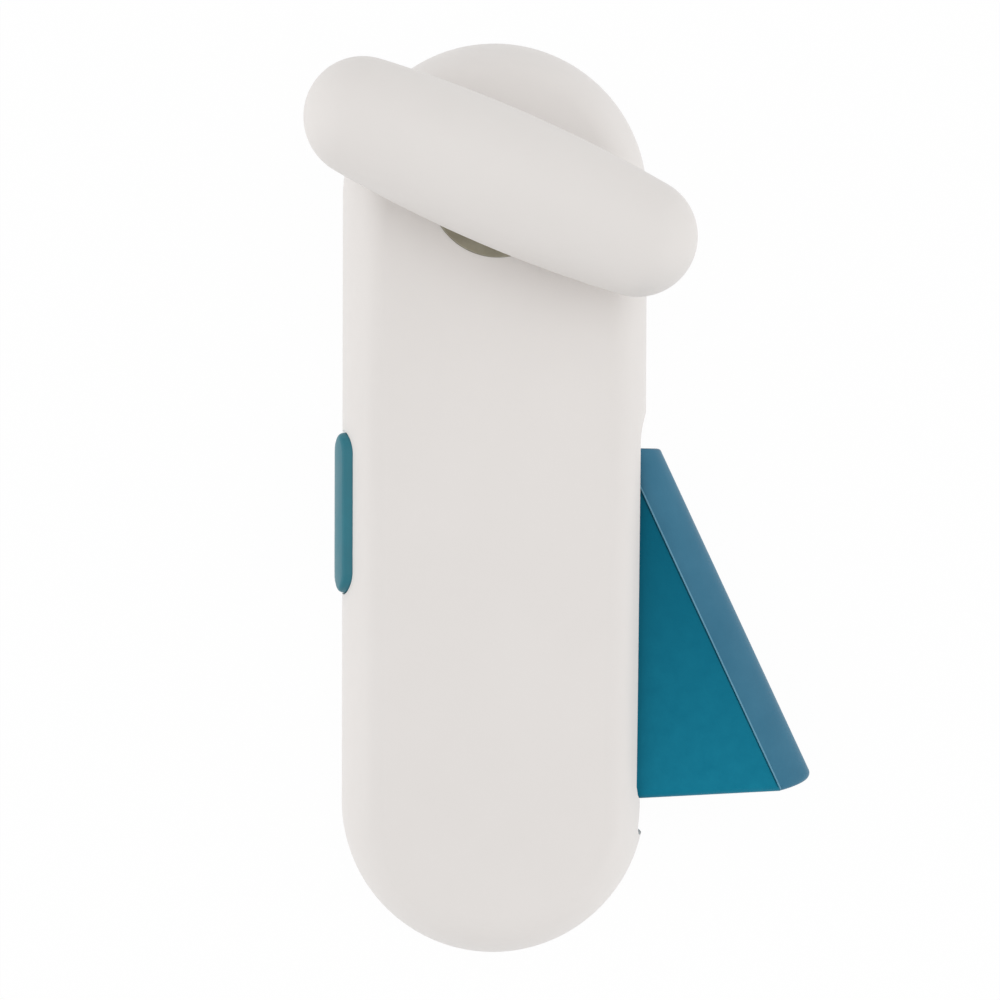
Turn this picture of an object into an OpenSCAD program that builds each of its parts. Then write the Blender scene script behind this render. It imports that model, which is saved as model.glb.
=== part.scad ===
// Hand can opener: a rounded two-part body with a turning bar over its head, a squeeze lever that
// swings out of one side, and a release button in the other side.
// It lies on its back: +X is the lever's side, +Y the head, +Z the front face, and z = 0 the rest face.

/* [Body] */
// Width of the body across its straight sides
body_w = 63; // [60:0.5:68]
// Length of the body from the tip of the head to the tip of the tail
body_l = 188; // [184:1:206]
// Thickness of the body from the rest face to the front face
body_t = 26; // [25.5:0.5:29]
// Radius of the wide arc across each side
side_r = 16; // [15:0.5:18]
// Radius of the small arc between a side and a flat face
edge_r = 7; // [5:0.5:8]
// Wall thickness of the two covers
wall = 2.2; // [1.8:0.1:2.6]
// Width of the seam between the two covers
seam = 0.1; // [0.05:0.05:0.2]
// Distance from the centre of the head back to the step in the rear cover
step_back = 32.8; // [32:0.2:35]
// Height of the rear cover's rim round the head, below the seam
rim_h = 3; // [2.5:0.25:3.5]

/* [Screws and posts] */
// Shank radius of every screw
screw_r = 1.2; // [1:0.1:1.5]
// Head radius of every screw
screw_head_r = 2.6; // [2.2:0.1:3]
// Thickness of a housing screw's head
screw_head_t = 1.8; // [1.2:0.1:2.2]
// Length of a housing screw's shank
screw_l = 15; // [12:0.5:16]
// Depth of the recess that takes a housing screw's head
screw_recess = 5; // [4:0.25:6]
// Wall thickness of a post round its screw
post_wall = 2.4; // [1.8:0.1:3]
// Distance from the side of the body to the two side posts
side_post_in = 10.4; // [10.3:0.1:11.5]
// Distance from the centre of the head back to the upper side post
side_post_back = 40; // [39:0.5:41]
// Distance from the centre of the tail forward to the lower side post
side_post_on = 15; // [3:1:23]
// Distance from the rounded end of the tail in to the two tail posts
tail_post_in = 10.4; // [10.3:0.1:13]
// Angle of the tail posts to each side of straight back
tail_post_angle = 35.5; // [25:0.5:45]
// Distance from the side of the body in to the base plate's posts
plate_post_in = 12.4; // [11.6:0.2:14]
// Distance of the two front posts past the centre of the head
plate_post_on = 8.6; // [6:0.2:9]
// Distance of the two back posts behind the centre of the head
plate_post_back = 23; // [20:0.25:24]

/* [Turning bar] */
// Length of the turning bar
knob_l = 81; // [70:1:90]
// Width of the turning bar at its middle
knob_w = 26.5; // [25:0.5:30]
// Radius of the bar's rounded ends
knob_end_r = 11.6; // [10.5:0.1:12]
// Distance from the bar's long axis down to its flat underside
knob_drop = 11.8; // [10.8:0.1:12.2]
// Gap between the front face and the bar's underside
knob_gap = 3.2; // [2.5:0.1:5]
// Wall thickness of the hollow bar
knob_wall = 2.4; // [1.8:0.1:3]
// Thickness of the bar's lower plate
knob_base_t = 2.4; // [1.8:0.1:3]
// Angle of the bar across the head at rest
knob_tilt = 23; // [0:1:45]
// Radius of the neck between the bar and the head
neck_r = 10.2; // [9:0.1:11]
// Depth of the neck below the front face
neck_sink = 0.8; // [0.4:0.1:1]

/* [Drive shaft] */
// Radius of the drive shaft
shaft_r = 3; // [2.8:0.1:3.5]
// Radius of the shaft's lower end, inside the feed wheel
spigot_r = 2.2; // [1.8:0.1:2.4]
// Wall thickness of the two shaft bushings
bush_wall = 2; // [1.5:0.1:2.5]
// Length of the upper bushing
upper_bush_l = 7; // [5:0.5:9]
// Flange thickness of the lower bushing
bush_flange_t = 1.2; // [0.8:0.1:1.5]
// How far the lower bushing's flange reaches past its barrel
bush_flange_w = 1.5; // [1:0.1:1.6]
// Thickness of the thrust washer
washer_t = 0.7; // [0.5:0.1:0.8]
// Thickness of the shaft's retaining clip
clip_t = 0.8; // [0.6:0.1:1]
// Depth of the clip's groove in the shaft
groove_d = 0.45; // [0.3:0.05:0.6]
// Length of the shaft inside the bar, above the bar's lower plate
shaft_grip = 8.4; // [6:0.2:12]
// Radius of the steel hub inside the bar
hub_r = 5.2; // [5:0.1:5.4]
// Height of the hub above the shaft's end
hub_cap = 2; // [1:0.5:4]
// Outer radius of the bearing ring in the front face
ring_r = 13.8; // [12.8:0.1:15]
// Width of the bearing ring
ring_w = 2.4; // [1.5:0.1:2.5]
// Depth of the ring's seat in the front face
ring_seat = 1.2; // [0.8:0.1:1.4]
// How far the ring stands out of the front face
ring_proud = 0.3; // [0.1:0.1:0.6]

/* [Rim feed and cutter] */
// Thickness of the steel base plate
plate_t = 1.6; // [1.2:0.1:2]
// Distance from the side of the body to the edge of the base plate
plate_in = 1; // [0.6:0.1:1.5]
// Outer radius of the toothed feed wheel
feed_r = 6.2; // [5.5:0.1:6.8]
// Depth of the feed wheel's teeth
tooth_d = 0.7; // [0.4:0.1:1]
// Number of teeth on the feed wheel
feed_teeth = 24; // [16:1:30]
// Thickness of the feed wheel
feed_t = 3.8; // [3:0.1:4]
// Gap between the base plate and the feed wheel
feed_drop = 0.8; // [0.6:0.1:1.2]
// Head thickness of the feed wheel's screw
feed_screw_t = 1.4; // [1:0.1:1.8]
// Radius of the cutting disc
cutter_r = 8.4; // [7.5:0.1:9]
// Thickness of the cutting disc
cutter_t = 1.6; // [1.2:0.1:1.8]
// Width of the bevel round the cutting disc
cutter_bevel = 1.6; // [1:0.1:2]
// Gap between the feed wheel and the cutting disc with the lever closed
bite_gap = 0.28; // [0.2:0.02:0.6]
// Radius of the cutter's axle
axle_r = 2.4; // [2:0.1:2.6]
// Radius of the axle's collar
collar_r = 4.2; // [3.8:0.1:4.6]
// Length of the collar below the base plate
collar_drop = 4.1; // [3.9:0.1:4.2]
// Thickness of the axle's two riveted heads
axle_head_t = 0.8; // [0.6:0.1:1]
// Radius of the axle's two riveted heads
axle_head_r = 3.4; // [3.1:0.1:3.8]
// Thickness of the cutter slide
slide_t = 1.5; // [1.2:0.1:1.6]
// Gap between the slide's head and the base plate's posts
slide_side_gap = 1; // [0.4:0.1:1.5]
// Distance from the side of the slide's head in to the guide pins
guide_in = 3.5; // [3:0.1:4.5]
// Distance from the centre of the head back to the guide pins
guide_back = 21; // [20:0.25:22]
// Radius of the guide pins
guide_r = 1.6; // [1.4:0.1:1.8]
// Width of the slide's arm
arm_w = 10; // [9:0.25:10.5]

/* [Squeeze lever] */
// Distance from the side of the body in to the lever's hinge
pivot_in = 7; // [6.8:0.1:7.6]
// Distance from the centre of the head back to the hinge
pivot_back = 45.8; // [45:0.2:47]
// Radius of the hinge pin
pin_r = 1.5; // [1.3:0.1:1.7]
// Wall round the hinge pin in the lever's ears
ear_wall = 1.35; // [1.1:0.05:1.5]
// Distance from each flat face of the body to the end of the hinge pin
pin_end = 3.5; // [3:0.25:4]
// Radius of the half-round rail
rail_r = 6.5; // [6.2:0.1:6.8]
// How far the rail's outer side stands in from the body's side when the lever is squeezed
rail_inset = 0.6; // [0.4:0.1:0.8]
// Width of the flat strip along the rail's inner edge
rail_flat = 1.3; // [0.8:0.1:1.4]
// How far the rail's slanted head lies below the hinge when the lever is out
head_drop = 6.2; // [6:0.1:6.6]
// How far the rail reaches past the centre of the tail with the lever closed
rail_past = 5.8; // [-3:0.2:7]
// Distance from the hinge down to the top of the rail
rail_drop = 9.6; // [9:0.2:11]
// Corner radius of the rail's two ends
rail_corner = 2.4; // [1.5:0.1:3]
// Step from the rail down to the flat sides of the wedge
web_step = 0.3; // [0.2:0.05:0.6]
// Wall thickness of the lever
lever_wall = 1.8; // [1.4:0.1:2]
// How far the wedge reaches past the hinge towards the inside
web_in = 0.4; // [0.2:0.1:1]
// How far short of the rail's foot the wedge's inner corner lies
web_short = 6.6; // [5.8:0.2:13]
// Bevel along the foot of the wedge
foot_bevel = 1.2; // [0.6:0.1:1.4]
// Angle that the lever swings out
lever_angle = 25.2; // [18:0.1:25.4]
// Height of the stop lugs above the wedge
lug_h = 2.3; // [2:0.1:2.5]
// Thickness of the stop lugs
lug_t = 2; // [1.4:0.1:2.2]
// Length of the stop lugs
lug_l = 8; // [5:0.5:10]
// Gap round the lever in its window
window_gap = 0.8; // [0.7:0.05:1]
// Corner radius at the foot of the window
window_corner = 3; // [2:0.1:3.2]
// Gap between the foot of the lever and the window
window_foot = 1; // [0.8:0.1:1.6]
// Distance from the hinge up to the top of the window
window_top = 1.9; // [1.5:0.1:2.5]

/* [Crank and latch] */
// Thickness of the crank plate and of the latch pawl
crank_t = 1.8; // [1.5:0.1:2]
// Height of the crank plate above the seam
crank_up = 0.6; // [0.5:0.1:0.8]
// Distance from the hinge to the crank pin
crank_l = 12; // [11:0.1:12.2]
// Radius of the crank pin
crank_pin_r = 1.5; // [1.3:0.1:1.7]
// Wall round the holes in the crank plate
crank_wall = 2.2; // [1.6:0.1:2.5]
// Half width of the crank's arm
crank_arm = 2.6; // [2:0.1:2.8]
// How far the crank's strip reaches inside the hinge
crank_strip = 2.5; // [2:0.1:3]
// Distance of the upper rivet from the hinge
rivet_high = 14; // [13:0.25:16]
// Distance of the lower rivet from the hinge
rivet_low = 33; // [31:0.25:33.5]
// Distance of the two rivets to the outside of the hinge
rivet_out = 2.2; // [2.1:0.1:2.4]
// Radius of the rivets
rivet_r = 1.1; // [0.9:0.05:1.2]
// Outer radius of the latch lug
lug_r = 40; // [38:0.25:41]
// Radial thickness of the latch lug
lug_w = 5; // [4:0.25:6]
// Depth of the notch in the lug
notch_d = 2; // [1.6:0.1:2.2]
// Angle across the pawl's nose
nose_angle = 2.9; // [2.4:0.1:3.2]
// Free angle at each side of the nose
nose_gap = 0.55; // [0.5:0.05:0.8]
// Angle from straight down to the pawl's nose, seen from the hinge
nose_at = 28.5; // [27:0.25:29]
// Gap between the nose and the lug's rim at rest
nose_clear = 0.35; // [0.3:0.05:0.45]
// Distance from the nose to the pawl's pivot
pawl_l = 20; // [19:0.25:21]
// Outer radius of the pawl's hub
pawl_hub_r = 3.2; // [3:0.1:3.4]
// Width of the pawl's curved arm
pawl_w = 2.8; // [2.4:0.1:3.2]
// Distance between the lug's rim and the pawl's curved arm
pawl_off = 2; // [1.9:0.05:2.3]
// Height above the pawl's pivot where the button pushes
push_up = 11; // [10.5:0.1:12]
// Half width of the pawl's stem
stem_half = 1.3; // [1.1:0.1:1.5]

/* [Release button] */
// Half width of the button's pad
pad_h = 7.8; // [6:0.1:8]
// Length of the button's pad
pad_l = 33; // [30:0.2:35]
// Distance from the centre of the head back to the button's centre
pad_back = 65.4; // [65.2:0.2:66.4]
// How far the pad stands out of the side
pad_proud = 1.6; // [1.2:0.1:2]
// Corner radius of the pad's two ends
pad_corner = 2.6; // [2:0.1:3]
// Gap between the pad and its window
pad_gap = 0.3; // [0.2:0.05:0.4]
// How far the flange reaches past the window
flange_w = 1.4; // [1:0.1:1.8]
// Thickness of the flange
flange_t = 1.4; // [1:0.1:1.6]
// How far the button can stand out when the latch is engaged
pad_out = 0.8; // [0.6:0.05:0.9]
// Free gap left between the flange and the covers
flange_gap = 0.3; // [0.2:0.05:0.5]
// Radius of the pusher's rounded tip
pusher_r = 1.5; // [1.2:0.1:1.8]
// Gap between the pusher and the pawl
pusher_gap = 0.3; // [0.25:0.05:0.4]

/* [Springs] */
// Wire radius of the lever's return spring
return_wire_r = 0.4; // [0.3:0.05:0.45]
// Gap between the hinge pin and the return spring
return_gap = 0.5; // [0.4:0.05:0.7]
// Coils of the return spring
return_coils = 4; // [2:1:4]
// Distance from the hinge up to the spring peg
peg_up = 7; // [6:0.25:8]
// Radius of the spring peg
peg_r = 1; // [0.8:0.1:1.2]
// Wire radius of the button's spring
button_wire_r = 0.35; // [0.25:0.05:0.4]
// Coil radius of the button's spring
button_coil_r = 2.6; // [2.4:0.1:3]
// Coils of the button's spring
button_coils = 5; // [3:1:6]
// Length of the button's spring at rest
button_spring_l = 6.4; // [6:0.1:6.8]
// Distance from the button's centre down to its spring
button_spring_down = 12.5; // [12:0.25:13]

/* [Hidden] */
$fn = 64;

// Running gap round shafts and pins, fit gap round fixed pins, gap between moving pieces,
// gap between stacked pieces, a joint's lap and a cut's overshoot
run = 0.05;
fit = 0.02;
clear = 0.3;
stack = 0.1;
lap = 0.5;
over = 1;

// Places along the body
head_y = (body_l - body_w) / 2;
tail_y = -head_y;
step_y = head_y - step_back;
split_z = body_t / 2;
side_x = body_w / 2;

// Where the two side arcs meet
arc_turn = asin((body_t / 2 - edge_r) / (side_r - edge_r));
wide_x = side_x - side_r;
small_x = wide_x + (side_r - edge_r) * cos(arc_turn);
small_h = (side_r - edge_r) * sin(arc_turn);

// Heights of the mechanism under the head
plate_top = split_z - rim_h;
plate_z = plate_top - plate_t;
slide_gap = 0.2;
slide_z = plate_top + slide_gap;
slide_top = slide_z + slide_t;
feed_top = plate_z - feed_drop;
feed_z = feed_top - feed_t;
collar_z = plate_z - collar_drop;
cutter_top = collar_z - clear;
cutter_z = cutter_top - cutter_t;
axle_head_z = cutter_z - clear;
bush_r = shaft_r + run + bush_wall;
bush_top = plate_top + bush_flange_t;
bush_foot = 0.4;
bush_boss_wall = 2.4;
washer_z = bush_top + stack;
washer_lip = 0.4;
clip_z = washer_z + washer_t + stack;
clip_w = 1.6;
hub_step = 0.8;
spigot_lip = 0.1;

// Turning bar
knob_z = body_t + knob_gap + knob_drop;
knob_floor = body_t + knob_gap;
knob_joint = knob_floor + knob_base_t;
knob_span = knob_l / 2 - knob_end_r;
knob_rise = knob_w / 2 - knob_end_r;
knob_far = (knob_span * knob_span - knob_rise * knob_rise) / (2 * knob_rise);
knob_arc = knob_far + knob_w / 2;
arc_share = 0.8;
arc_steps = 8;
end_steps = 12;
shaft_top = knob_joint + shaft_grip;

// Lever
pivot_y = head_y - pivot_back;
pivot = [side_x - pivot_in, pivot_y];
rail_x = pivot_in - rail_r - rail_inset;
foot_y = tail_y - pivot_y - rail_past;
rail_l = -rail_drop - foot_y;
rail_head = (-head_drop - (rail_x - rail_flat) * sin(lever_angle)) / cos(lever_angle) + lap;
web_reach = -foot_y - web_short;
neck_drop = 3;
neck_step = 1;
neck_out = 1;
hollow_in = 6;
hollow_back = 0.9;
hollow_neck = 2;
lug_up = 2;
lug_root = 0.9;
root_two = 1.4142;
web_h = rail_r - web_step;
hollow_h = web_h - lever_wall;
ear_r = pin_r + run + ear_wall;
window_h = rail_r + window_gap;
window_low = pivot_y + foot_y - window_foot;
window_high = pivot_y + window_top;
boss_h = web_h + clear;
boss_wall = 1.7;
boss_r = pin_r + boss_wall;
rivet_wall = 1.1;
rivet_sink = 0.5;
rivet_lip = 0.8;
rivet_head_t = 0.6;

// Crank and latch: angles are measured from straight down towards -X, seen from the hinge
crank_z = split_z + crank_up;
crank_top = crank_z + crank_t;
crank_angle = lever_angle / 2;
crank_throw = crank_l * cos(crank_angle);
stroke = 2 * crank_l * sin(crank_angle);
notch_from = nose_at - lever_angle - nose_angle / 2 - nose_gap;
notch_to = notch_from + nose_angle + 2 * nose_gap;
lug_tip = nose_at - nose_angle / 2 - nose_gap;
lug_lap = 0.1;
strip_step = 3;
strip_high = 2;
strip_low = 4;
stem_past = 2;
arm_r = lug_r + pawl_off;
pawl_pivot = pivot + around(lug_r, nose_at) + pawl_l * [-cos(nose_at), sin(nose_at)];
pawl_reach = norm(pawl_pivot - pivot);
pawl_at = atan2(pivot.x - pawl_pivot.x, pivot.y - pawl_pivot.y);
pawl_bore_r = pin_r + run;
rivet_spans = [rivet_high, rivet_low];
pin_rise = 0.1;
pin_lip = 0.7;
pin_head_t = 0.6;

// Cutter: its place with the lever out, and the slide's arm
cutter_y = head_y - feed_r - bite_gap - cutter_r - stroke;
plate_post_x = side_x - plate_post_in;
slide_half_w = plate_post_x - screw_r - post_wall - slide_side_gap;
guide_x = slide_half_w - guide_in;
guide_gap = 0.15;
guide_lip = 1.2;
guide_head_t = 0.8;
slide_land = 4;
slide_front = cutter_y + axle_head_r + slide_land;
slide_lap = 3.8;
slide_back = step_y + slide_lap;
arm_x = pivot.x - crank_l + (crank_l - crank_throw) / 2;
arm_slope = 9;
arm_slot = 1.4;
arm_end = 2.1;
arm_foot = pivot_y - stroke / 2 - crank_pin_r - arm_end;
cutter_land = 0.35;
collar_gap = 0.4;

// Button
pad_h_gap = pad_h + pad_gap;
pad_y = head_y - pad_back;
pad_half = pad_l / 2;
pad_past = 0.15;
flange_h = pad_h_gap + flange_w;
flange_x = -(wide_x + sqrt(pow(side_r - wall, 2) - pow(flange_h, 2))) + pad_out + flange_gap;
flange_in = flange_x + flange_t;
pusher_y = pawl_pivot.y + push_up;
pusher_x = pawl_pivot.x - stem_half - pusher_gap - pusher_r;
button_spring_y = pad_y - button_spring_down;
pusher_lap = 0.5;
spring_boss_t = 1.8;
spring_end = 0.1;
seat_x = flange_in + button_spring_l + 2 * spring_end;
seat_t = 1.4;
seat_half = 4;
rib_gap = 0.6;
rib_t = 1.2;
rib_in = 4;
rib_low = 0.4;

// Springs
return_r = pin_r + return_gap + return_wire_r;
peg_x = return_r - return_wire_r - peg_r - spring_end;
peg_low = 2.5;
leg_gap = 0.2;
leg_past = 2;
leg_short = 0.8;
coil_steps = 16;
wire_sides = 8;

// Fasteners
post_r = screw_r + post_wall;
tail_post_r = side_x - tail_post_in;
screw_spots = [for (s = [1, -1]) [s * tail_post_r * sin(tail_post_angle),
    tail_y - tail_post_r * cos(tail_post_angle)], [side_post_in - side_x, tail_y + side_post_on],
    [side_post_in - side_x, head_y - side_post_back]];
plate_spots = [for (s = [1, -1]) each [[s * plate_post_x, head_y + plate_post_on],
    [s * plate_post_x, head_y - plate_post_back]]];
plate_screw_l = 10;
screw_drill = 1;
screw_sink = 0.2;
cross_l = 3.6;
cross_w = 0.8;
cross_d = 0.8;
plate_cross_l = 3.2;
plate_cross_d = 0.6;
feed_slot_l = 4.4;
feed_slot_w = 0.9;
feed_slot_d = 0.6;
feed_screw_lip = 1.4;
feed_screw_thin = 0.2;
feed_screw_l = 7;
guide_spots = [[guide_x, head_y - guide_back], [-guide_x, head_y - guide_back]];

// A point at a distance and angle from the hinge, the angle from straight down towards -X
function around(r, a) = [-r * sin(a), -r * cos(a)];
// A point turned about the origin
function turned(p, a) = [p.x * cos(a) - p.y * sin(a), p.x * sin(a) + p.y * cos(a)];
// The body's side at a height above or below the seam, drawn in by an inset
function side_at(h, inset) = wide_x + sqrt(pow(side_r - inset, 2) - h * h);
// Points along an arc
function arc_points(c, r, a0, a1, n) = [for (i = [0 : n]) let (a = a0 + (a1 - a0) * i / n)
    c + r * [cos(a), sin(a)]];

module at(spots) {
    for (p = spots) translate([p.x, p.y, 0]) children();
}

module rod(r, z0, z1) {
    translate([0, 0, z0]) cylinder(r = r, h = z1 - z0);
}

module tube(r, bore, z0, z1) {
    difference() {
        rod(r, z0, z1);
        rod(bore, z0 - over, z1 + over);
    }
}

// A flat plate from a 2D outline
module plate(z0, z1) {
    translate([0, 0, z0]) linear_extrude(height = z1 - z0) children();
}

// A prism along X from an outline drawn as (y, z)
module crosswise(x0, x1) {
    translate([x0, 0, split_z]) rotate([90, 0, 90]) linear_extrude(height = x1 - x0) children();
}

// A flat arc band about the origin, between two radii and two angles from straight down towards -X
module band(r0, r1, a0, a1) {
    intersection() {
        difference() {
            circle(r = r1);
            circle(r = r0);
        }
        polygon([[0, 0], around(2 * r1, a0), around(2 * r1, a1)]);
    }
}

module slot(p, q, r) {
    d = q - p;
    translate(p) circle(r = r);
    translate(q) circle(r = r);
    translate(p) rotate(atan2(d.y, d.x)) translate([0, -r]) square([norm(d), 2 * r]);
}

module rounded_rect(x0, y0, x1, y1, r) {
    translate([x0 + r, y0]) square([x1 - x0 - 2 * r, y1 - y0]);
    translate([x0, y0 + r]) square([x1 - x0, y1 - y0 - 2 * r]);
    for (x = [x0 + r, x1 - r]) for (y = [y0 + r, y1 - r]) translate([x, y]) circle(r = r);
}

// Half of the body's section above the seam, from its middle to its side, drawn in by an inset
module half_section(inset) {
    far = 2 * side_r;
    square([small_x, split_z - inset]);
    translate([wide_x, 0]) intersection() {
        circle(r = side_r - inset);
        polygon([[0, 0], [far, 0], [far, far * tan(arc_turn)]]);
    }
    translate([small_x, small_h]) intersection() {
        circle(r = edge_r - inset);
        square(far);
    }
}

// A straight length of the body above the seam, between two places along it
module half_bar(inset, y0, y1) {
    translate([0, y1, 0]) rotate([90, 0, 0]) linear_extrude(height = y1 - y0) {
        half_section(inset);
        mirror([1, 0]) half_section(inset);
    }
}

// The upper half of the body's outer form, standing on the seam plane
module half_body(inset) {
    translate([0, head_y, 0]) rotate_extrude(angle = 180) half_section(inset);
    translate([0, tail_y, 0]) rotate([0, 0, 180]) rotate_extrude(angle = 180) half_section(inset);
    half_bar(inset, tail_y, head_y);
}

// Keeps what is drawn inside a straight length of a cover, down to the middle of its wall
module inside_bar(y0, y1) {
    intersection() {
        half_bar(wall / 2, y0, y1);
        children();
    }
}

module front_half(inset) {
    translate([0, 0, split_z]) half_body(inset);
}

module rear_half(inset) {
    translate([0, 0, split_z]) mirror([0, 0, 1]) half_body(inset);
}

module seam_cut() {
    translate([-body_w, -body_l, split_z - seam / 2]) cube([2 * body_w, 2 * body_l, seam]);
}

// The lever's window: round at its head, with small corners at its foot
module lever_window() {
    crosswise(side_at(window_h, wall) - lap, side_x + over) {
        translate([window_high - window_h, 0]) circle(r = window_h);
        translate([window_low + window_corner, -window_h])
            square([window_high - window_h - window_low - window_corner, 2 * window_h]);
        translate([window_low, window_corner - window_h])
            square([window_corner + over, 2 * (window_h - window_corner)]);
        for (s = [-1, 1]) translate([window_low + window_corner, s * (window_h - window_corner)])
            circle(r = window_corner);
    }
}

// The button's outline in the side, grown by a margin
module pad_outline(grow) {
    slot([pad_y - pad_half + pad_h, 0], [pad_y + pad_half - pad_h, 0], pad_h + grow);
}

module button_window() {
    crosswise(-side_x - over, -side_at(pad_h_gap, wall) + lap) pad_outline(pad_gap);
}

// Two ribs that keep the button's flange from sliding along the body
module button_ribs() {
    reach = pad_half + pad_gap + flange_w + rib_gap;
    for (y = [pad_y - reach - rib_t, pad_y + reach]) translate([0, y + rib_t, 0]) rotate([90, 0, 0])
        linear_extrude(height = rib_t) mirror([1, 0]) intersection() {
            half_section(wall / 2);
            translate([-flange_in - rib_in, rib_low]) square([side_x, split_z]);
        }
}

// Posts, bosses and ribs inside the upper half of the body, measured from the seam
module half_posts(pawl_low) {
    top = split_z - wall / 2;
    at(screw_spots) rod(post_r, 0, top);
    at([pawl_pivot]) rod(boss_r, pawl_low, top);
    inside_bar(pivot_y - 2 * boss_r, pivot_y + 2 * boss_r) at([pivot]) rod(boss_r, boss_h, split_z);
    button_ribs();
}

module front_cover() {
    color("gainsboro") difference() {
        union() {
            difference() {
                front_half(0);
                front_half(wall);
            }
            translate([0, 0, split_z]) half_posts(crank_up + crank_t + clear);
            at(plate_spots) rod(post_r, plate_top, body_t - wall / 2);
            at([[0, head_y]]) rod(bush_r + bush_boss_wall, body_t - wall - upper_bush_l, body_t - wall / 2);
        }
        at(screw_spots) rod(screw_r + run, split_z - over, screw_recess + screw_l + screw_drill);
        at(plate_spots) rod(screw_r + run, plate_top - over, plate_z + plate_screw_l + screw_drill);
        at([pivot, pawl_pivot]) rod(pin_r + fit, split_z, body_t - pin_end + stack);
        at([[0, head_y]]) rod(bush_r + fit, split_z, body_t + over);
        at([[0, head_y]]) rod(ring_r + run, body_t - ring_seat, body_t + over);
        lever_window();
        button_window();
        difference() {
            seam_cut();
            at(plate_spots) rod(post_r + over, split_z - over, split_z + over);
        }
    }
}

module rear_cover() {
    wide = body_w + 2 * over;
    color("whitesmoke") difference() {
        union() {
            difference() {
                rear_half(0);
                difference() {
                    rear_half(wall);
                    translate([-wide / 2, step_y - wall, -over])
                        cube([wide, wall, plate_top - slide_gap + over]);
                }
            }
            translate([0, 0, split_z]) mirror([0, 0, 1]) half_posts(clear - crank_up);
            at([pivot + [-peg_x, peg_up]]) rod(peg_r, wall / 2, split_z - peg_low);
            translate([seat_x, button_spring_y - seat_half, wall / 2])
                cube([seat_t, 2 * seat_half, split_z - wall / 2]);
        }
        translate([-wide / 2, step_y, -over]) cube([wide, body_l, plate_top + over]);
        at(screw_spots) rod(screw_r + run, -over, split_z + over);
        at(screw_spots) rod(screw_head_r + clear, -over, screw_recess);
        at([pivot, pawl_pivot]) rod(pin_r + fit, pin_end - stack, split_z + over);
        lever_window();
        button_window();
        difference() {
            seam_cut();
            at([pawl_pivot]) rod(boss_r + over, split_z - over, split_z + over);
            translate([seat_x - over, button_spring_y - seat_half - over, split_z - over])
                cube([seat_t + 2 * over, 2 * (seat_half + over), 2 * over]);
        }
    }
}

module housing_screws() {
    color("lightsteelblue") at(screw_spots) {
        rod(screw_r, screw_recess - screw_sink, screw_recess + screw_l);
        difference() {
            rod(screw_head_r, screw_recess - screw_head_t, screw_recess);
            translate([0, 0, screw_recess - screw_head_t]) cross_slot(cross_l, cross_d);
        }
    }
}

// The cross in a screw's head, from the head's face down
module cross_slot(length, depth) {
    cube([length, cross_w, 2 * depth], center = true);
    cube([cross_w, length, 2 * depth], center = true);
}

// Outline of a plate that closes the head from below
module head_outline() {
    r = side_x - plate_in;
    low = step_y + slide_gap;
    translate([0, head_y]) circle(r = r);
    translate([-r, low]) square([2 * r, head_y - low]);
}

// A screw's countersunk head, grown by a gap
module countersink(grow) {
    translate([0, 0, plate_z - grow])
        cylinder(r1 = screw_head_r + 2 * grow, r2 = screw_r, h = screw_head_r - screw_r + 2 * grow);
}

module base_plate() {
    color("silver") difference() {
        plate(plate_z, plate_top) head_outline();
        at([[0, head_y]]) rod(bush_r + fit, plate_z - over, plate_top + over);
        at(guide_spots) rod(guide_r + fit, plate_z - over, plate_top + over);
        at(plate_spots) rod(screw_r + run, plate_z - over, plate_top + over);
        at(plate_spots) countersink(run);
        plate(plate_z - over, plate_top + over)
            slot([0, cutter_y], [0, cutter_y + stroke], collar_r + collar_gap);
    }
}

module base_plate_screws() {
    color("lightsteelblue") at(plate_spots) difference() {
        union() {
            countersink(0);
            rod(screw_r, plate_z, plate_z + plate_screw_l);
        }
        translate([0, 0, plate_z]) cross_slot(plate_cross_l, plate_cross_d);
    }
}

module upper_bushing() {
    color("goldenrod") at([[0, head_y]])
        tube(bush_r, shaft_r + run, body_t - wall - upper_bush_l, body_t - ring_seat);
}

module lower_bushing() {
    color("goldenrod") at([[0, head_y]]) difference() {
        union() {
            rod(bush_r, plate_z - bush_foot, bush_top);
            rod(bush_r + bush_flange_w, plate_top, bush_top);
        }
        rod(shaft_r + run, plate_z - over, bush_top + over);
    }
}

module bearing_ring() {
    color("dimgray") at([[0, head_y]]) tube(ring_r, ring_r - ring_w, body_t - ring_seat, body_t + ring_proud);
}

module slide_guide_pins() {
    color("silver") at(guide_spots) {
        rod(guide_r, plate_z, slide_top + slide_gap);
        rod(guide_r + guide_lip, slide_top + slide_gap, slide_top + slide_gap + guide_head_t);
    }
}

module lever_pivot_pin() {
    color("silver") at([pivot]) rod(pin_r, pin_end, body_t - pin_end);
}

module latch_pivot_pin() {
    color("silver") at([pawl_pivot]) rod(pin_r, pin_end, body_t - pin_end);
}

// The turning bar's outer form, drawn in by an inset: round ends joined by one long arc
module bar(inset) {
    end_r = knob_end_r - inset;
    turn = atan2(knob_span, knob_far);
    translate([0, head_y, knob_z]) rotate([0, 0, -knob_tilt]) rotate([0, 90, 0]) rotate_extrude()
        polygon(concat(arc_points([0, -knob_span], end_r, -90, -turn, end_steps),
            arc_points([-knob_far, 0], knob_arc - inset, -arc_share * turn, arc_share * turn, arc_steps),
            arc_points([0, knob_span], end_r, turn, 90, end_steps)));
}

module bar_slice(z0, z1) {
    translate([-knob_l, head_y - knob_l, z0]) cube([2 * knob_l, 2 * knob_l, z1 - z0]);
}

module knob_shell() {
    color("white") difference() {
        bar(0);
        bar(knob_wall);
        bar_slice(0, knob_joint + stack);
    }
}

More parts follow.
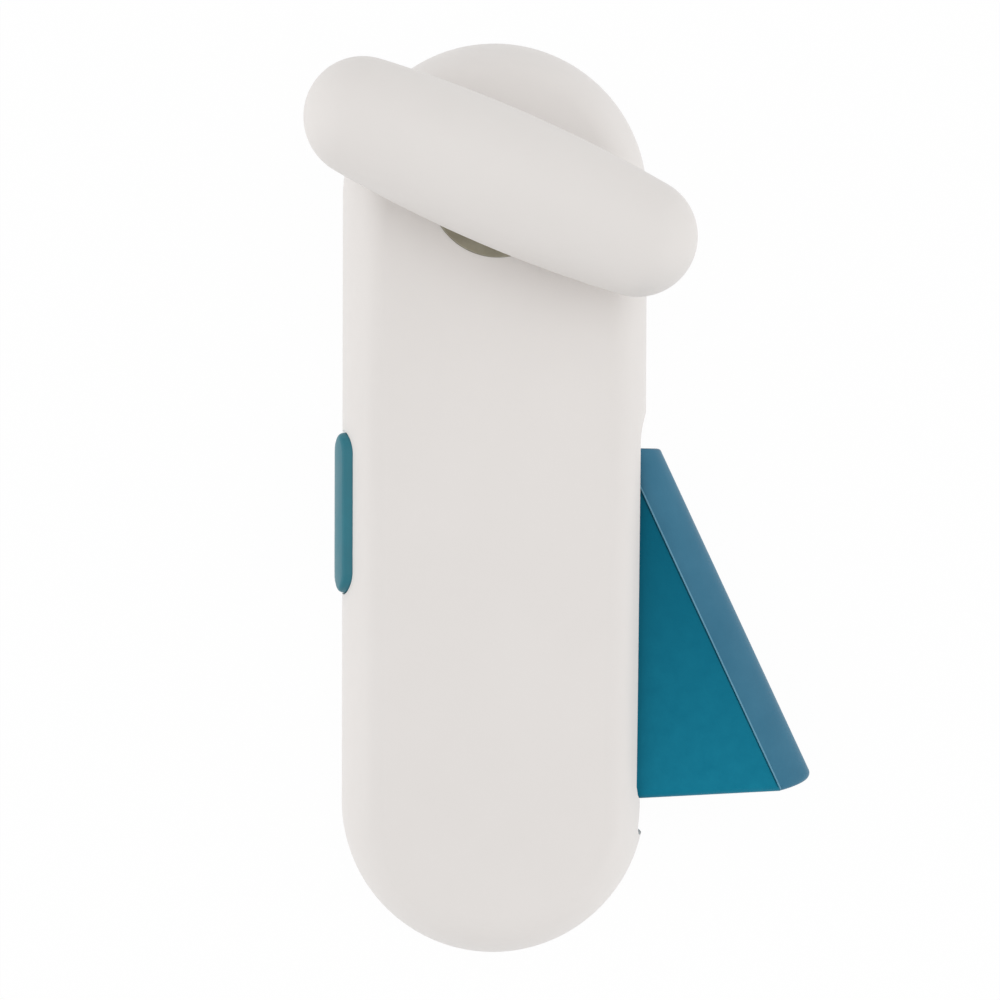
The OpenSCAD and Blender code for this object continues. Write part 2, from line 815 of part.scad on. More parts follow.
module knob_base() {
    color("white") difference() {
        union() {
            intersection() {
                bar(0);
                bar_slice(knob_floor, knob_joint);
            }
            at([[0, head_y]]) rod(neck_r, body_t - neck_sink, knob_joint);
        }
        at([[0, head_y]]) rod(hub_r - hub_step + fit, body_t - neck_sink - over, knob_joint + over);
    }
}

module knob_hub() {
    color("silver") at([[0, head_y]]) difference() {
        union() {
            rod(hub_r, knob_joint, shaft_top + hub_cap);
            rod(hub_r - hub_step, body_t - neck_sink, knob_joint);
        }
        rod(shaft_r + fit, body_t - neck_sink - over, shaft_top + stack);
    }
}

module drive_shaft() {
    color("silver") at([[0, head_y]]) difference() {
        union() {
            rod(shaft_r, feed_top, shaft_top);
            rod(spigot_r, feed_z + spigot_lip, feed_top);
        }
        tube(shaft_r + over, shaft_r - groove_d, clip_z - run, clip_z + clip_t + run);
        rod(screw_r - feed_screw_thin + fit, feed_z - over, feed_z + feed_screw_l + screw_drill);
    }
}

module thrust_washer() {
    color("goldenrod") at([[0, head_y]])
        tube(bush_r + washer_lip, shaft_r + run, washer_z, washer_z + washer_t);
}

module shaft_clip() {
    color("dimgray") at([[0, head_y]]) difference() {
        tube(shaft_r + clip_w, shaft_r - groove_d + run, clip_z, clip_z + clip_t);
        translate([0, -shaft_r / 2, clip_z - over]) cube([2 * shaft_r, shaft_r, clip_t + 2 * over]);
    }
}

module feed_wheel() {
    color("silver") at([[0, head_y]]) difference() {
        plate(feed_z, feed_top) polygon([for (i = [0 : 2 * feed_teeth - 1])
            turned([feed_r - (i % 2) * tooth_d, 0], 180 * i / feed_teeth)]);
        rod(spigot_r + fit, feed_z - over, feed_top + over);
    }
}

module feed_wheel_screw() {
    color("lightsteelblue") at([[0, head_y]]) difference() {
        union() {
            rod(spigot_r + feed_screw_lip, feed_z - feed_screw_t, feed_z);
            rod(screw_r - feed_screw_thin, feed_z - screw_sink, feed_z + feed_screw_l);
        }
        translate([0, 0, feed_z - feed_screw_t])
            cube([feed_slot_l, feed_slot_w, 2 * feed_slot_d], center = true);
    }
}

// The slide as it stands with the lever out
module cutter_slide() {
    half = arm_w / 2;
    color("silver") difference() {
        plate(slide_z, slide_top) polygon([[-slide_half_w, slide_back], [-slide_half_w, slide_front],
            [slide_half_w, slide_front], [slide_half_w, slide_back], [arm_x + half, slide_back - arm_slope],
            [arm_x + half, arm_foot], [arm_x - half, arm_foot], [arm_x - half, slide_back]]);
        plate(slide_z - over, slide_top + over) {
            translate([arm_x, pivot_y - stroke / 2]) slot([-arm_slot, 0], [arm_slot, 0], crank_pin_r + run);
            for (p = guide_spots) slot(p - [0, stroke], p, guide_r + guide_gap);
        }
        at([[0, cutter_y]]) rod(axle_r + fit, slide_z - over, slide_top + over);
    }
}

module cutter_axle() {
    color("lightsteelblue") at([[0, cutter_y]]) {
        rod(axle_head_r, axle_head_z - axle_head_t, axle_head_z);
        rod(axle_r, axle_head_z - screw_sink, slide_top + screw_sink);
        rod(collar_r, collar_z, slide_z);
        rod(axle_head_r, slide_top, slide_top + axle_head_t);
    }
}

module cutter_wheel() {
    rim = cutter_t * cutter_land;
    color("lightsteelblue") at([[0, cutter_y]]) rotate_extrude()
        polygon([[axle_r + run, cutter_z], [cutter_r - cutter_bevel, cutter_z],
            [cutter_r, cutter_top - rim], [cutter_r, cutter_top], [axle_r + run, cutter_top]]);
}

// What belongs to the lever is drawn with its rail upright and its hinge at the origin,
// and then swung out to the rest position
module swung() {
    translate([pivot.x, pivot.y, 0]) rotate([0, 0, lever_angle]) children();
}

// The wedge's flat outline, with its neck up to the hinge
module web_outline() {
    polygon([[rail_x, -rail_drop], [rail_x, foot_y], turned([-web_in, -web_reach], -lever_angle),
        turned([-web_in, -neck_drop], -lever_angle), [-ear_r, 0], [pin_r, 0],
        [neck_out, -rail_drop - neck_step]]);
}

// The half-round rail, with its head cut level when the lever is out
module rail_form() {
    reach = rail_head - foot_y;
    intersection() {
        translate([rail_x, foot_y, split_z]) rotate([-90, 0, 0]) cylinder(r = rail_r, h = reach);
        plate(0, body_t) rounded_rect(rail_x - rail_r, foot_y, rail_x + rail_r, rail_head, rail_corner);
        plate(0, body_t) rotate(-lever_angle) translate([-reach, -head_drop - 2 * reach])
            square(2 * reach);
        crosswise(rail_x - rail_flat, pivot_in + over)
            rounded_rect(foot_y, -rail_r, rail_head, rail_r, window_corner);
    }
}

module rivet_spots() {
    for (d = rivet_spans) rotate([0, 0, -lever_angle]) translate([rivet_out, -d, 0]) children();
}

module squeeze_lever() {
    foot = turned([-web_in, -web_reach], -lever_angle);
    foot_angle = atan2(foot_y - foot.y, rail_x - foot.x);
    foot_l = norm([foot_y - foot.y, rail_x - foot.x]);
    bevel_side = foot_bevel * root_two;
    lug_foot = web_h - lug_root;
    color("teal") swung() difference() {
        union() {
            difference() {
                union() {
                    plate(split_z - web_h, split_z + web_h) web_outline();
                    rod(ear_r, split_z - web_h, split_z + web_h);
                    rail_form();
                }
                // the hollow between the two ears and webs, open along the wedge's inner edge
                plate(split_z - hollow_h, split_z + hollow_h) polygon([[rail_x, -rail_drop - lever_wall],
                    [rail_x, foot_y + lever_wall],
                    turned([-web_in - hollow_in, lever_wall - web_reach], -lever_angle),
                    turned([-web_in - hollow_in, hollow_in], -lever_angle), [ear_r + over, ear_r + over],
                    [ear_r + over, hollow_neck - rail_drop],
                    [rail_x - hollow_back, -rail_drop - lever_wall]]);
                intersection() {
                    translate([rail_x, foot_y + lever_wall, split_z]) rotate([-90, 0, 0])
                        cylinder(r = hollow_h, h = rail_l - 2 * lever_wall);
                    plate(0, body_t) translate([rail_x - stack, foot_y]) square([rail_r, rail_l]);
                }
                // bevels along the foot
                for (s = [-1, 1]) translate([foot.x, foot.y, split_z + s * web_h])
                    rotate([0, 0, foot_angle]) rotate([45, 0, 0])
                        translate([-2 * over, -bevel_side / 2, -bevel_side / 2])
                            cube([foot_l + 2 * over, bevel_side, bevel_side]);
            }
            // bosses that clamp the crank plate
            rivet_spots() {
                rod(rivet_r + rivet_wall, split_z - web_h + rivet_sink, crank_z - fit);
                rod(rivet_r + rivet_wall, crank_top + fit, split_z + web_h - rivet_sink);
            }
            // stop lugs that meet the inside of the covers when the lever is out
            rotate([0, 0, -lever_angle]) for (z = [split_z - web_h - lug_h, split_z + lug_foot])
                translate([-web_in, lug_up - web_reach, z]) cube([lug_t, lug_l, lug_h + lug_root]);
        }
        rod(pin_r + run, 0, body_t);
        rivet_spots() rod(rivet_r + fit, 0, body_t);
    }
}

module lever_crank() {
    root = lug_r - notch_d;
    color("silver") at([pivot]) plate(crank_z, crank_top) difference() {
        union() {
            circle(r = pin_r + crank_wall);
            // the arm out to the crank pin
            rotate(crank_angle) {
                translate([-crank_l, -crank_arm]) square([crank_l, 2 * crank_arm]);
                translate([-crank_l, 0]) circle(r = crank_pin_r + crank_wall);
            }
            // the strip down the lever, with the two rivets
            polygon([[-crank_strip, 0], [-crank_strip, lug_lap - root],
                [rivet_out + strip_low, lug_lap - root], [rivet_out + strip_low, strip_step - rivet_low],
                [rivet_out + strip_high, -rivet_high - strip_step], [rivet_out + strip_high, 0]]);
            // the latch lug, with its notch
            band(lug_r - lug_w, root, 0, lug_tip);
            band(root - lap, lug_r, notch_to, lug_tip);
        }
        circle(r = pin_r + run);
        rotate(crank_angle) translate([-crank_l, 0]) circle(r = crank_pin_r + fit);
        for (d = rivet_spans) translate([rivet_out, -d]) circle(r = rivet_r + fit);
    }
}

module crank_rivets() {
    color("silver") swung() rivet_spots() {
        rod(rivet_r, split_z - web_h - screw_sink, split_z + web_h + screw_sink);
        rod(rivet_r + rivet_lip, split_z + web_h, split_z + web_h + rivet_head_t);
        rod(rivet_r + rivet_lip, split_z - web_h - rivet_head_t, split_z - web_h);
    }
}

module crank_pin() {
    color("silver") at([pivot]) rotate([0, 0, crank_angle]) translate([-crank_l, 0, 0]) {
        rod(crank_pin_r, slide_z + slide_gap, crank_top + pin_rise);
        rod(crank_pin_r + pin_lip, crank_top, crank_top + pin_head_t);
    }
}

// The pawl's nose stands just outside the lug's rim; its stem stands up to the button's pusher
module latch_pawl() {
    nose_from = nose_at - nose_angle / 2;
    color("silver") plate(crank_z, crank_top) difference() {
        union() {
            translate(pawl_pivot) circle(r = pawl_hub_r);
            translate(pivot) band(arm_r, arm_r + pawl_w, nose_from, pawl_at);
            translate(pivot) band(lug_r + nose_clear, arm_r + lap, nose_from, nose_from + nose_angle);
            translate([pawl_pivot.x - stem_half, pawl_pivot.y]) square([2 * stem_half, push_up + stem_past]);
        }
        translate(pawl_pivot) circle(r = pawl_bore_r);
    }
}

module release_button() {
    far_x = -side_x - pad_proud;
    color("teal") {
        intersection() {
            crosswise(far_x - over, flange_in) pad_outline(0);
            translate([-wide_x, body_w, split_z]) rotate([90, 0, 0])
                cylinder(r = side_r + pad_proud, h = 2 * body_w);
            plate(0, body_t) rounded_rect(far_x - pad_past, pad_y - pad_half, flange_in + pad_corner,
                pad_y + pad_half, pad_corner);
        }
        crosswise(flange_x, flange_in) pad_outline(pad_gap + flange_w);
        translate([flange_in - pusher_lap, pusher_y - pusher_r, split_z - pusher_lap])
            cube([pusher_x - flange_in + pusher_lap, 2 * pusher_r, crank_t + 2 * crank_up]);
        translate([pusher_x, pusher_y, split_z - pusher_lap])
            cylinder(r = pusher_r, h = crank_t + 2 * crank_up);
        translate([flange_in - pusher_lap, button_spring_y, split_z]) rotate([0, 90, 0])
            cylinder(r = button_coil_r - button_wire_r - clear, h = spring_boss_t);
    }
}

// A round wire swept along a path
function unit(v) = v / norm(v);
function heading(path, i) = unit(path[min(i + 1, len(path) - 1)] - path[max(i - 1, 0)]);
module wire(path, r) {
    n = len(path);
    points = [for (i = [0 : n - 1]) let (t = heading(path, i), side = unit(cross(t, [0, 0, 1])),
        top = cross(side, t)) for (j = [0 : wire_sides - 1]) let (a = 360 * j / wire_sides)
            path[i] + r * (cos(a) * side + sin(a) * top)];
    skin = [for (i = [0 : n - 2]) for (j = [0 : wire_sides - 1])
        let (k = (j + 1) % wire_sides, a = i * wire_sides)
            [a + j, a + wire_sides + j, a + wire_sides + k, a + k]];
    ends = [[for (j = [0 : wire_sides - 1]) j],
        [for (j = [wire_sides - 1 : -1 : 0]) (n - 1) * wire_sides + j]];
    polyhedron(points = points, faces = concat(skin, ends));
}

// Torsion spring: one leg on the rear cover's peg, coils round the hinge pin, one leg on a rivet boss
module lever_return_spring() {
    low = split_z - hollow_h + return_wire_r + leg_gap;
    high = crank_z - return_wire_r - leg_gap;
    steps = return_coils * coil_steps;
    path = concat([[-return_r, peg_up + leg_past, low], [-return_r, leg_past, low]],
        [for (i = [0 : steps]) let (a = 180 + 360 * i / coil_steps)
            [return_r * cos(a), return_r * sin(a), low + (high - low) * i / steps]],
        [[rivet_out - rivet_r - rivet_wall - return_wire_r - spring_end, leg_short - rivet_high, high]]);
    color("slategray") at([pivot]) wire(path, return_wire_r);
}

module button_spring() {
    steps = button_coils * coil_steps;
    r = button_wire_r;
    path = [for (i = [0 : steps]) let (a = 360 * i / coil_steps)
        [button_coil_r * cos(a), button_coil_r * sin(a), r + (button_spring_l - 2 * r) * i / steps]];
    color("slategray") translate([flange_in + spring_end, button_spring_y, split_z]) rotate([0, 90, 0])
        wire(path, r);
}

front_cover();
rear_cover();
housing_screws();
base_plate();
base_plate_screws();
upper_bushing();
lower_bushing();
bearing_ring();
slide_guide_pins();
lever_pivot_pin();
latch_pivot_pin();
knob_shell();
knob_base();
knob_hub();
drive_shaft();
thrust_washer();
shaft_clip();
feed_wheel();
feed_wheel_screw();
cutter_slide();
cutter_axle();
cutter_wheel();
squeeze_lever();
lever_crank();
crank_rivets();
crank_pin();
lever_return_spring();
latch_pawl();
release_button();
button_spring();
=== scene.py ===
"""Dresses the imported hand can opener.

The covers, ring, bar, lever and button are modelled here, and every piece gets its finish.
"""

import logging
import math
from collections.abc import Callable, Iterator, Sequence
from contextlib import contextmanager
from dataclasses import dataclass
from enum import Enum
from functools import cache

import bmesh
import bpy
from mathutils import Matrix, Vector


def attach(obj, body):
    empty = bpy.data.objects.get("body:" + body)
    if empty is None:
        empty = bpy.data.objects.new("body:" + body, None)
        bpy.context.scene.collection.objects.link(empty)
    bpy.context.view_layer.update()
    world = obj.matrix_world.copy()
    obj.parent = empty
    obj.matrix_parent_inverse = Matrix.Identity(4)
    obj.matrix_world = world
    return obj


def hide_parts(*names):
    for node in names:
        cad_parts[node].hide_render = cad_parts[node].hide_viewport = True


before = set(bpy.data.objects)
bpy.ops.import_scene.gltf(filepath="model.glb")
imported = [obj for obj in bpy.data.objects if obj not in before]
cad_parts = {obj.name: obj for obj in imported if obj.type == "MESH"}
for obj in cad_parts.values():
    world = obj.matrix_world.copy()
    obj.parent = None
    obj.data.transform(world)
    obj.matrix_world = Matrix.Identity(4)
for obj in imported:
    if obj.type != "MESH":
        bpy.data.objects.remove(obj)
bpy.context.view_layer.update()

LOG = logging.getLogger("can_opener")
MM = 0.001
HAIR = 1e-6  # nearer than this counts as touching
SEAM_Z = 13.0 * MM  # the height at which the two covers meet
HEAD = (0.0, 62.5 * MM)  # the head's centre, in plan
HINGE = (24.5 * MM, 16.7 * MM)  # the lever's hinge, in plan
UP = (0.0, 0.0, 1.0)
ORIGIN = (0.0, 0.0)
SHARP = 60.0  # the least angle of an edge that is square, in degrees

Point = Sequence[float]
Colour = tuple[float, float, float]
Test = Callable[[Vector, Vector], bool]
Value = object  # a socket to link, or a plain value to set
Object = bpy.types.Object
Socket = bpy.types.NodeSocket


# ---------------------------------------------------------------- workshop


class Part(Enum):
    """What a selection takes from a mesh."""

    VERTS = "verts"
    EDGES = "edges"
    FACES = "faces"


class Join(Enum):
    """How one solid is worked into another."""

    CUT = "DIFFERENCE"
    FUSE = "UNION"
    KEEP = "INTERSECT"


def deselect() -> None:
    """Deselects every object."""
    bpy.ops.object.select_all(action="DESELECT")


def activate(obj: Object) -> None:
    """Makes one object the only selected one.

    Args:
        obj: The object to work on.
    """
    deselect()
    obj.select_set(True)
    bpy.context.view_layer.objects.active = obj


@contextmanager
def editing(obj: Object) -> Iterator[None]:
    """Opens an object in edit mode with everything selected, and closes it again.

    Args:
        obj: The mesh object to shape.
    """
    activate(obj)
    bpy.ops.object.mode_set(mode="EDIT")
    select_whole()
    yield
    bpy.ops.object.mode_set(mode="OBJECT")


def select_whole() -> None:
    """Selects the whole mesh, in edit mode."""
    bpy.ops.mesh.select_all(action="SELECT")


def pick(obj: Object, part: Part, test: Test, angle: float = 0.0) -> int:
    """Selects, in edit mode, what passes a test on its middle and its normal.

    Args:
        obj: The object in edit mode.
        part: Whether vertices, edges or faces are tested.
        test: Takes the middle and the normal, both in metres.
        angle: The least angle between an edge's two faces, in degrees, or 0 for any edge.

    Returns:
        How many were selected.
    """
    bpy.ops.mesh.select_all(action="DESELECT")
    bpy.ops.mesh.select_mode(type=part.name.rstrip("S"))
    shape = bmesh.from_edit_mesh(obj.data)
    least = math.radians(angle)
    count = 0
    for item in getattr(shape, part.value):
        if part is Part.VERTS:
            middle, normal = item.co, item.normal
        elif part is Part.FACES:
            middle, normal = item.calc_center_median(), item.normal
        elif angle and (len(item.link_faces) != 2 or item.calc_face_angle(0.0) < least):
            continue
        else:
            middle = (item.verts[0].co + item.verts[1].co) / 2
            normal = sum((face.normal for face in item.link_faces), Vector())
        if test(middle, normal):
            item.select_set(True)
            count += 1
    shape.select_flush_mode()
    bmesh.update_edit_mesh(obj.data)
    return count


def rename(obj: Object, name: str) -> Object:
    """Names an object and its mesh, and gives the object back."""
    obj.name = obj.data.name = name
    return obj


def settle(name: str) -> Object:
    """Names the object that was just added and moves its place into its mesh.

    Args:
        name: The piece's name.

    Returns:
        The object, at the origin.
    """
    obj = rename(bpy.context.view_layer.objects.active, name)
    bpy.ops.object.transform_apply(location=True, rotation=True, scale=True)
    return obj


def seed(name: str, place: Point) -> Object:
    """Starts a piece as one vertex, from which a profile is drawn.

    Args:
        name: The piece's name.
        place: Where the vertex is, in metres.

    Returns:
        The new object.
    """
    deselect()
    bpy.ops.mesh.primitive_plane_add(size=MM, location=place)
    obj = settle(name)
    with editing(obj):
        bpy.ops.mesh.merge(type="CENTER")
    return obj


def cylinder(
    name: str,
    radius: float,
    depth: float,
    middle: Point,
    turned: Point = (0.0, 0.0, 0.0),
    sides: int = 64,
) -> Object:
    """Adds a round bar.

    Args:
        name: The piece's name.
        radius: Its radius.
        depth: Its length.
        middle: Its middle.
        turned: How it's turned from upright, in radians.
        sides: How many sides it has.

    Returns:
        The new object.
    """
    deselect()
    bpy.ops.mesh.primitive_cylinder_add(
        vertices=sides, radius=radius, depth=depth, location=middle, rotation=turned
    )
    return settle(name)


def rod(radius: float, low: float, high: float, at: Point = ORIGIN, sides: int = 64) -> Object:
    """Adds an upright round bar between two heights, at a place in plan."""
    return cylinder("rod", radius, high - low, (at[0], at[1], (low + high) / 2), sides=sides)


def rods(
    radius: float, low: float, high: float, spots: Sequence[Point], sides: int = 32
) -> list[Object]:
    """Adds the same upright bar at several places."""
    return [rod(radius, low, high, at, sides) for at in spots]


def block(low: Point, high: Point) -> Object:
    """Adds a plain block between two corners.

    Args:
        low: Its lowest corner.
        high: Its highest corner.

    Returns:
        The new object.
    """
    deselect()
    middle = [(a + b) / 2 for a, b in zip(low, high)]
    bpy.ops.mesh.primitive_cube_add(size=1.0, location=middle, scale=[b - a for a, b in zip(low, high)])
    return settle("block")


def outline(name: str, points: Sequence[Point], rise: Point) -> Object:
    """Adds a flat outline and extrudes it into a prism.

    Args:
        name: The piece's name.
        points: The outline's corners, in order.
        rise: How far and which way it's extruded.

    Returns:
        The new object.
    """
    deselect()
    bpy.ops.mesh.primitive_circle_add(vertices=len(points), radius=1.0, fill_type="NGON")
    obj = settle(name)
    for vertex, point in zip(obj.data.vertices, points):
        vertex.co = point
    with editing(obj):
        pull(rise)
        face_outwards()
    return obj


def face_outwards() -> None:
    """Turns every face outwards, in edit mode."""
    select_whole()
    bpy.ops.mesh.normals_make_consistent(inside=False)


def pull(step: Point) -> None:
    """Extrudes what is selected by a straight step along X, Y and Z."""
    bpy.ops.mesh.extrude_region_move(TRANSFORM_OT_translate={"value": step})


def draw(step: Point) -> None:
    """Draws a straight edge from the selected vertices, by a step along X, Y and Z."""
    bpy.ops.mesh.extrude_vertices_move(TRANSFORM_OT_translate={"value": step})


def sweep(centre: Point, axis: Point, angle: float, steps: int) -> None:
    """Sweeps what is selected round an axis, the right-hand way, by an angle in degrees."""
    bpy.ops.mesh.spin(steps=steps, angle=-math.radians(angle), center=centre, axis=axis)


def slice_off(place: Point, normal: Point, ahead: bool = True, fill: bool = True) -> None:
    """Cuts away, in edit mode, what lies ahead of a plane or behind it.

    Args:
        place: A point of the plane.
        normal: The plane's normal.
        ahead: Whether what lies ahead goes, or what lies behind.
        fill: Whether the cut is closed with a face.
    """
    bpy.ops.mesh.bisect(
        plane_co=place, plane_no=normal, clear_outer=ahead, clear_inner=not ahead, use_fill=fill
    )


def close_up(obj: Object) -> None:
    """Merges doubled vertices and turns the faces outwards.

    Args:
        obj: The object to close.
    """
    with editing(obj):
        bpy.ops.mesh.remove_doubles(threshold=2 * HAIR)
        bpy.ops.mesh.normals_make_consistent(inside=False)


def finish_modifier(obj: Object, kind: str, **values: object) -> None:
    """Adds a modifier, sets it and applies it.

    Args:
        obj: The object that gets it.
        kind: The modifier's type.
        values: Its settings.
    """
    activate(obj)
    modifier = obj.modifiers.new(kind.title(), kind)
    for key, value in values.items():
        setattr(modifier, key, value)
    bpy.ops.object.modifier_apply(modifier=modifier.name)


def work(obj: Object, join: Join, *tools: Object, keep_tool: bool = False) -> None:
    """Works other solids into one, as a single tool, and removes them.

    Args:
        obj: The piece.
        join: Whether the tools are cut away, fused or kept.
        tools: The loose solids.
        keep_tool: Whether the tool is used again.
    """
    tool = gather("tool", tools)
    finish_modifier(obj, "BOOLEAN", operation=join.value, object=tool, solver="EXACT")
    if not keep_tool:
        bpy.data.objects.remove(tool)


def gather(name: str, pieces: Sequence[Object]) -> Object:
    """Joins loose solids into one object.

    Args:
        name: The joined object's name.
        pieces: The objects.

    Returns:
        The joined object.
    """
    activate(pieces[0])
    for piece in pieces[1:]:
        piece.select_set(True)
    if len(pieces) > 1:
        bpy.ops.object.join()
    return rename(pieces[0], name)


def soften(
    obj: Object, width: float, angle: float = SHARP, steps: int = 2, test: Test | None = None
) -> None:
    """Rounds the sharp edges of a piece.

    Args:
        obj: The piece.
        width: The width of the rounding.
        angle: Edges sharper than this are rounded, in degrees.
        steps: How many strips make the round.
        test: Takes an edge's middle and normal, and says whether it's rounded.
    """
    with editing(obj):
        if pick(obj, Part.EDGES, test or (lambda middle, normal: True), angle):
            bpy.ops.mesh.bevel(
                offset=width, segments=steps, profile=0.5, affect="EDGES", clamp_overlap=True
            )


def smooth(obj: Object, angle: float = 32.0) -> None:
    """Shades a piece smooth, up to an angle in degrees."""
    activate(obj)
    bpy.ops.object.shade_smooth_by_angle(angle=math.radians(angle))


def cleaned(obj: Object) -> Object:
    """Merges what a cut leaves behind, drops loose bits and shades the piece.

    Args:
        obj: The piece.

    Returns:
        The same object.
    """
    with editing(obj):
        bpy.ops.mesh.remove_doubles(threshold=HAIR)
        bpy.ops.mesh.dissolve_degenerate(threshold=HAIR)
        select_whole()
        bpy.ops.mesh.delete_loose()
    smooth(obj)
    return obj


def turn(obj: Object, angle: float, centre: Point = ORIGIN) -> None:
    """Turns a mesh about an upright axis, the right-hand way.

    Args:
        obj: The piece.
        angle: How far, in degrees.
        centre: A point on the axis.
    """
    place = Vector((centre[0], centre[1], 0.0))
    spin = Matrix.Rotation(math.radians(angle), 4, "Z")
    obj.data.transform(Matrix.Translation(place) @ spin @ Matrix.Translation(-place))


# ---------------------------------------------------------------- finishes


class Net:
    """A node tree with short ways to add and link its nodes."""

    def __init__(self, tree: bpy.types.NodeTree) -> None:
        """Keeps the tree that gets the nodes."""
        self.tree = tree

    def put(self, value: Value, socket: Socket) -> None:
        """Links a socket to an input, or sets the input to a plain value.

        Args:
            value: The socket or the value.
            socket: The input.
        """
        if isinstance(value, Socket):
            self.tree.links.new(value, socket)
        else:
            socket.default_value = value

    def add(
        self, kind: str, inputs: dict[str | int, Value] | None = None, **settings: object
    ) -> bpy.types.Node:
        """Adds a node with its settings and inputs.

        Args:
            kind: The node's type.
            inputs: Input name or number to what goes into it.
            settings: The node's own settings.

        Returns:
            The node.
        """
        node = self.tree.nodes.new(kind)
        for key, value in settings.items():
            setattr(node, key, value)
        for key, value in (inputs or {}).items():
            self.put(value, node.inputs[key])
        return node

    def math(self, operation: str, *terms: Value) -> Socket:
        """Adds a sum of sockets and plain numbers, and gives its result."""
        return self.add("ShaderNodeMath", dict(enumerate(terms)), operation=operation).outputs[0]

    def spread(
        self, value: Value, low: Value, high: Value, start: Value = 0.0, end: Value = 1.0
    ) -> Socket:
        """Maps a value from one range to another.

        Args:
            value: The value.
            low: Where its range starts.
            high: Where its range ends.
            start: What the result is at the start.
            end: What the result is at the end.

        Returns:
            The result.
        """
        ranges = {"Value": value, "From Min": low, "From Max": high, "To Min": start, "To Max": end}
        return self.add("ShaderNodeMapRange", ranges).outputs["Result"]

    def noise(self, place: Value, scale: Value, detail: float, rough: float) -> Socket:
        """Adds a noise and gives its value."""
        inputs = {"Vector": place, "Scale": scale, "Detail": detail, "Roughness": rough}
        return self.add("ShaderNodeTexNoise", inputs).outputs["Fac"]

    def blend(self, factor: Value, first: Value, second: Value) -> Socket:
        """Mixes two colours and gives the result."""
        return self.add("ShaderNodeMix", {0: factor, 6: first, 7: second}, data_type="RGBA").outputs[2]

    def mix_shaders(self, factor: Socket, first: Socket, second: Socket, output: str) -> None:
        """Mixes two shaders and sends the result to the tree's output node."""
        mix = self.add("ShaderNodeMixShader", {0: factor, 1: first, 2: second})
        self.put(mix.outputs[0], self.tree.nodes[output].inputs["Surface"])

    def group(self, tree: bpy.types.NodeTree, **inputs: Value) -> bpy.types.NodeOutputs:
        """Places a shared group with its inputs, and gives its outputs."""
        return self.add("ShaderNodeGroup", inputs, node_tree=tree).outputs

    def seen_directly(self) -> Socket:
        """Adds a mask that is 1 for what the eye, a gloss or a glass sees directly."""
        rays = self.add("ShaderNodeLightPath").outputs
        first = self.math("MAXIMUM", rays["Is Camera Ray"], rays["Is Glossy Ray"])
        return self.math("MAXIMUM", first, rays["Is Transmission Ray"])


class Kind(Enum):
    """What a group's socket carries."""

    VECTOR = "NodeSocketVector"
    FLOAT = "NodeSocketFloat"
    COLOUR = "NodeSocketColor"


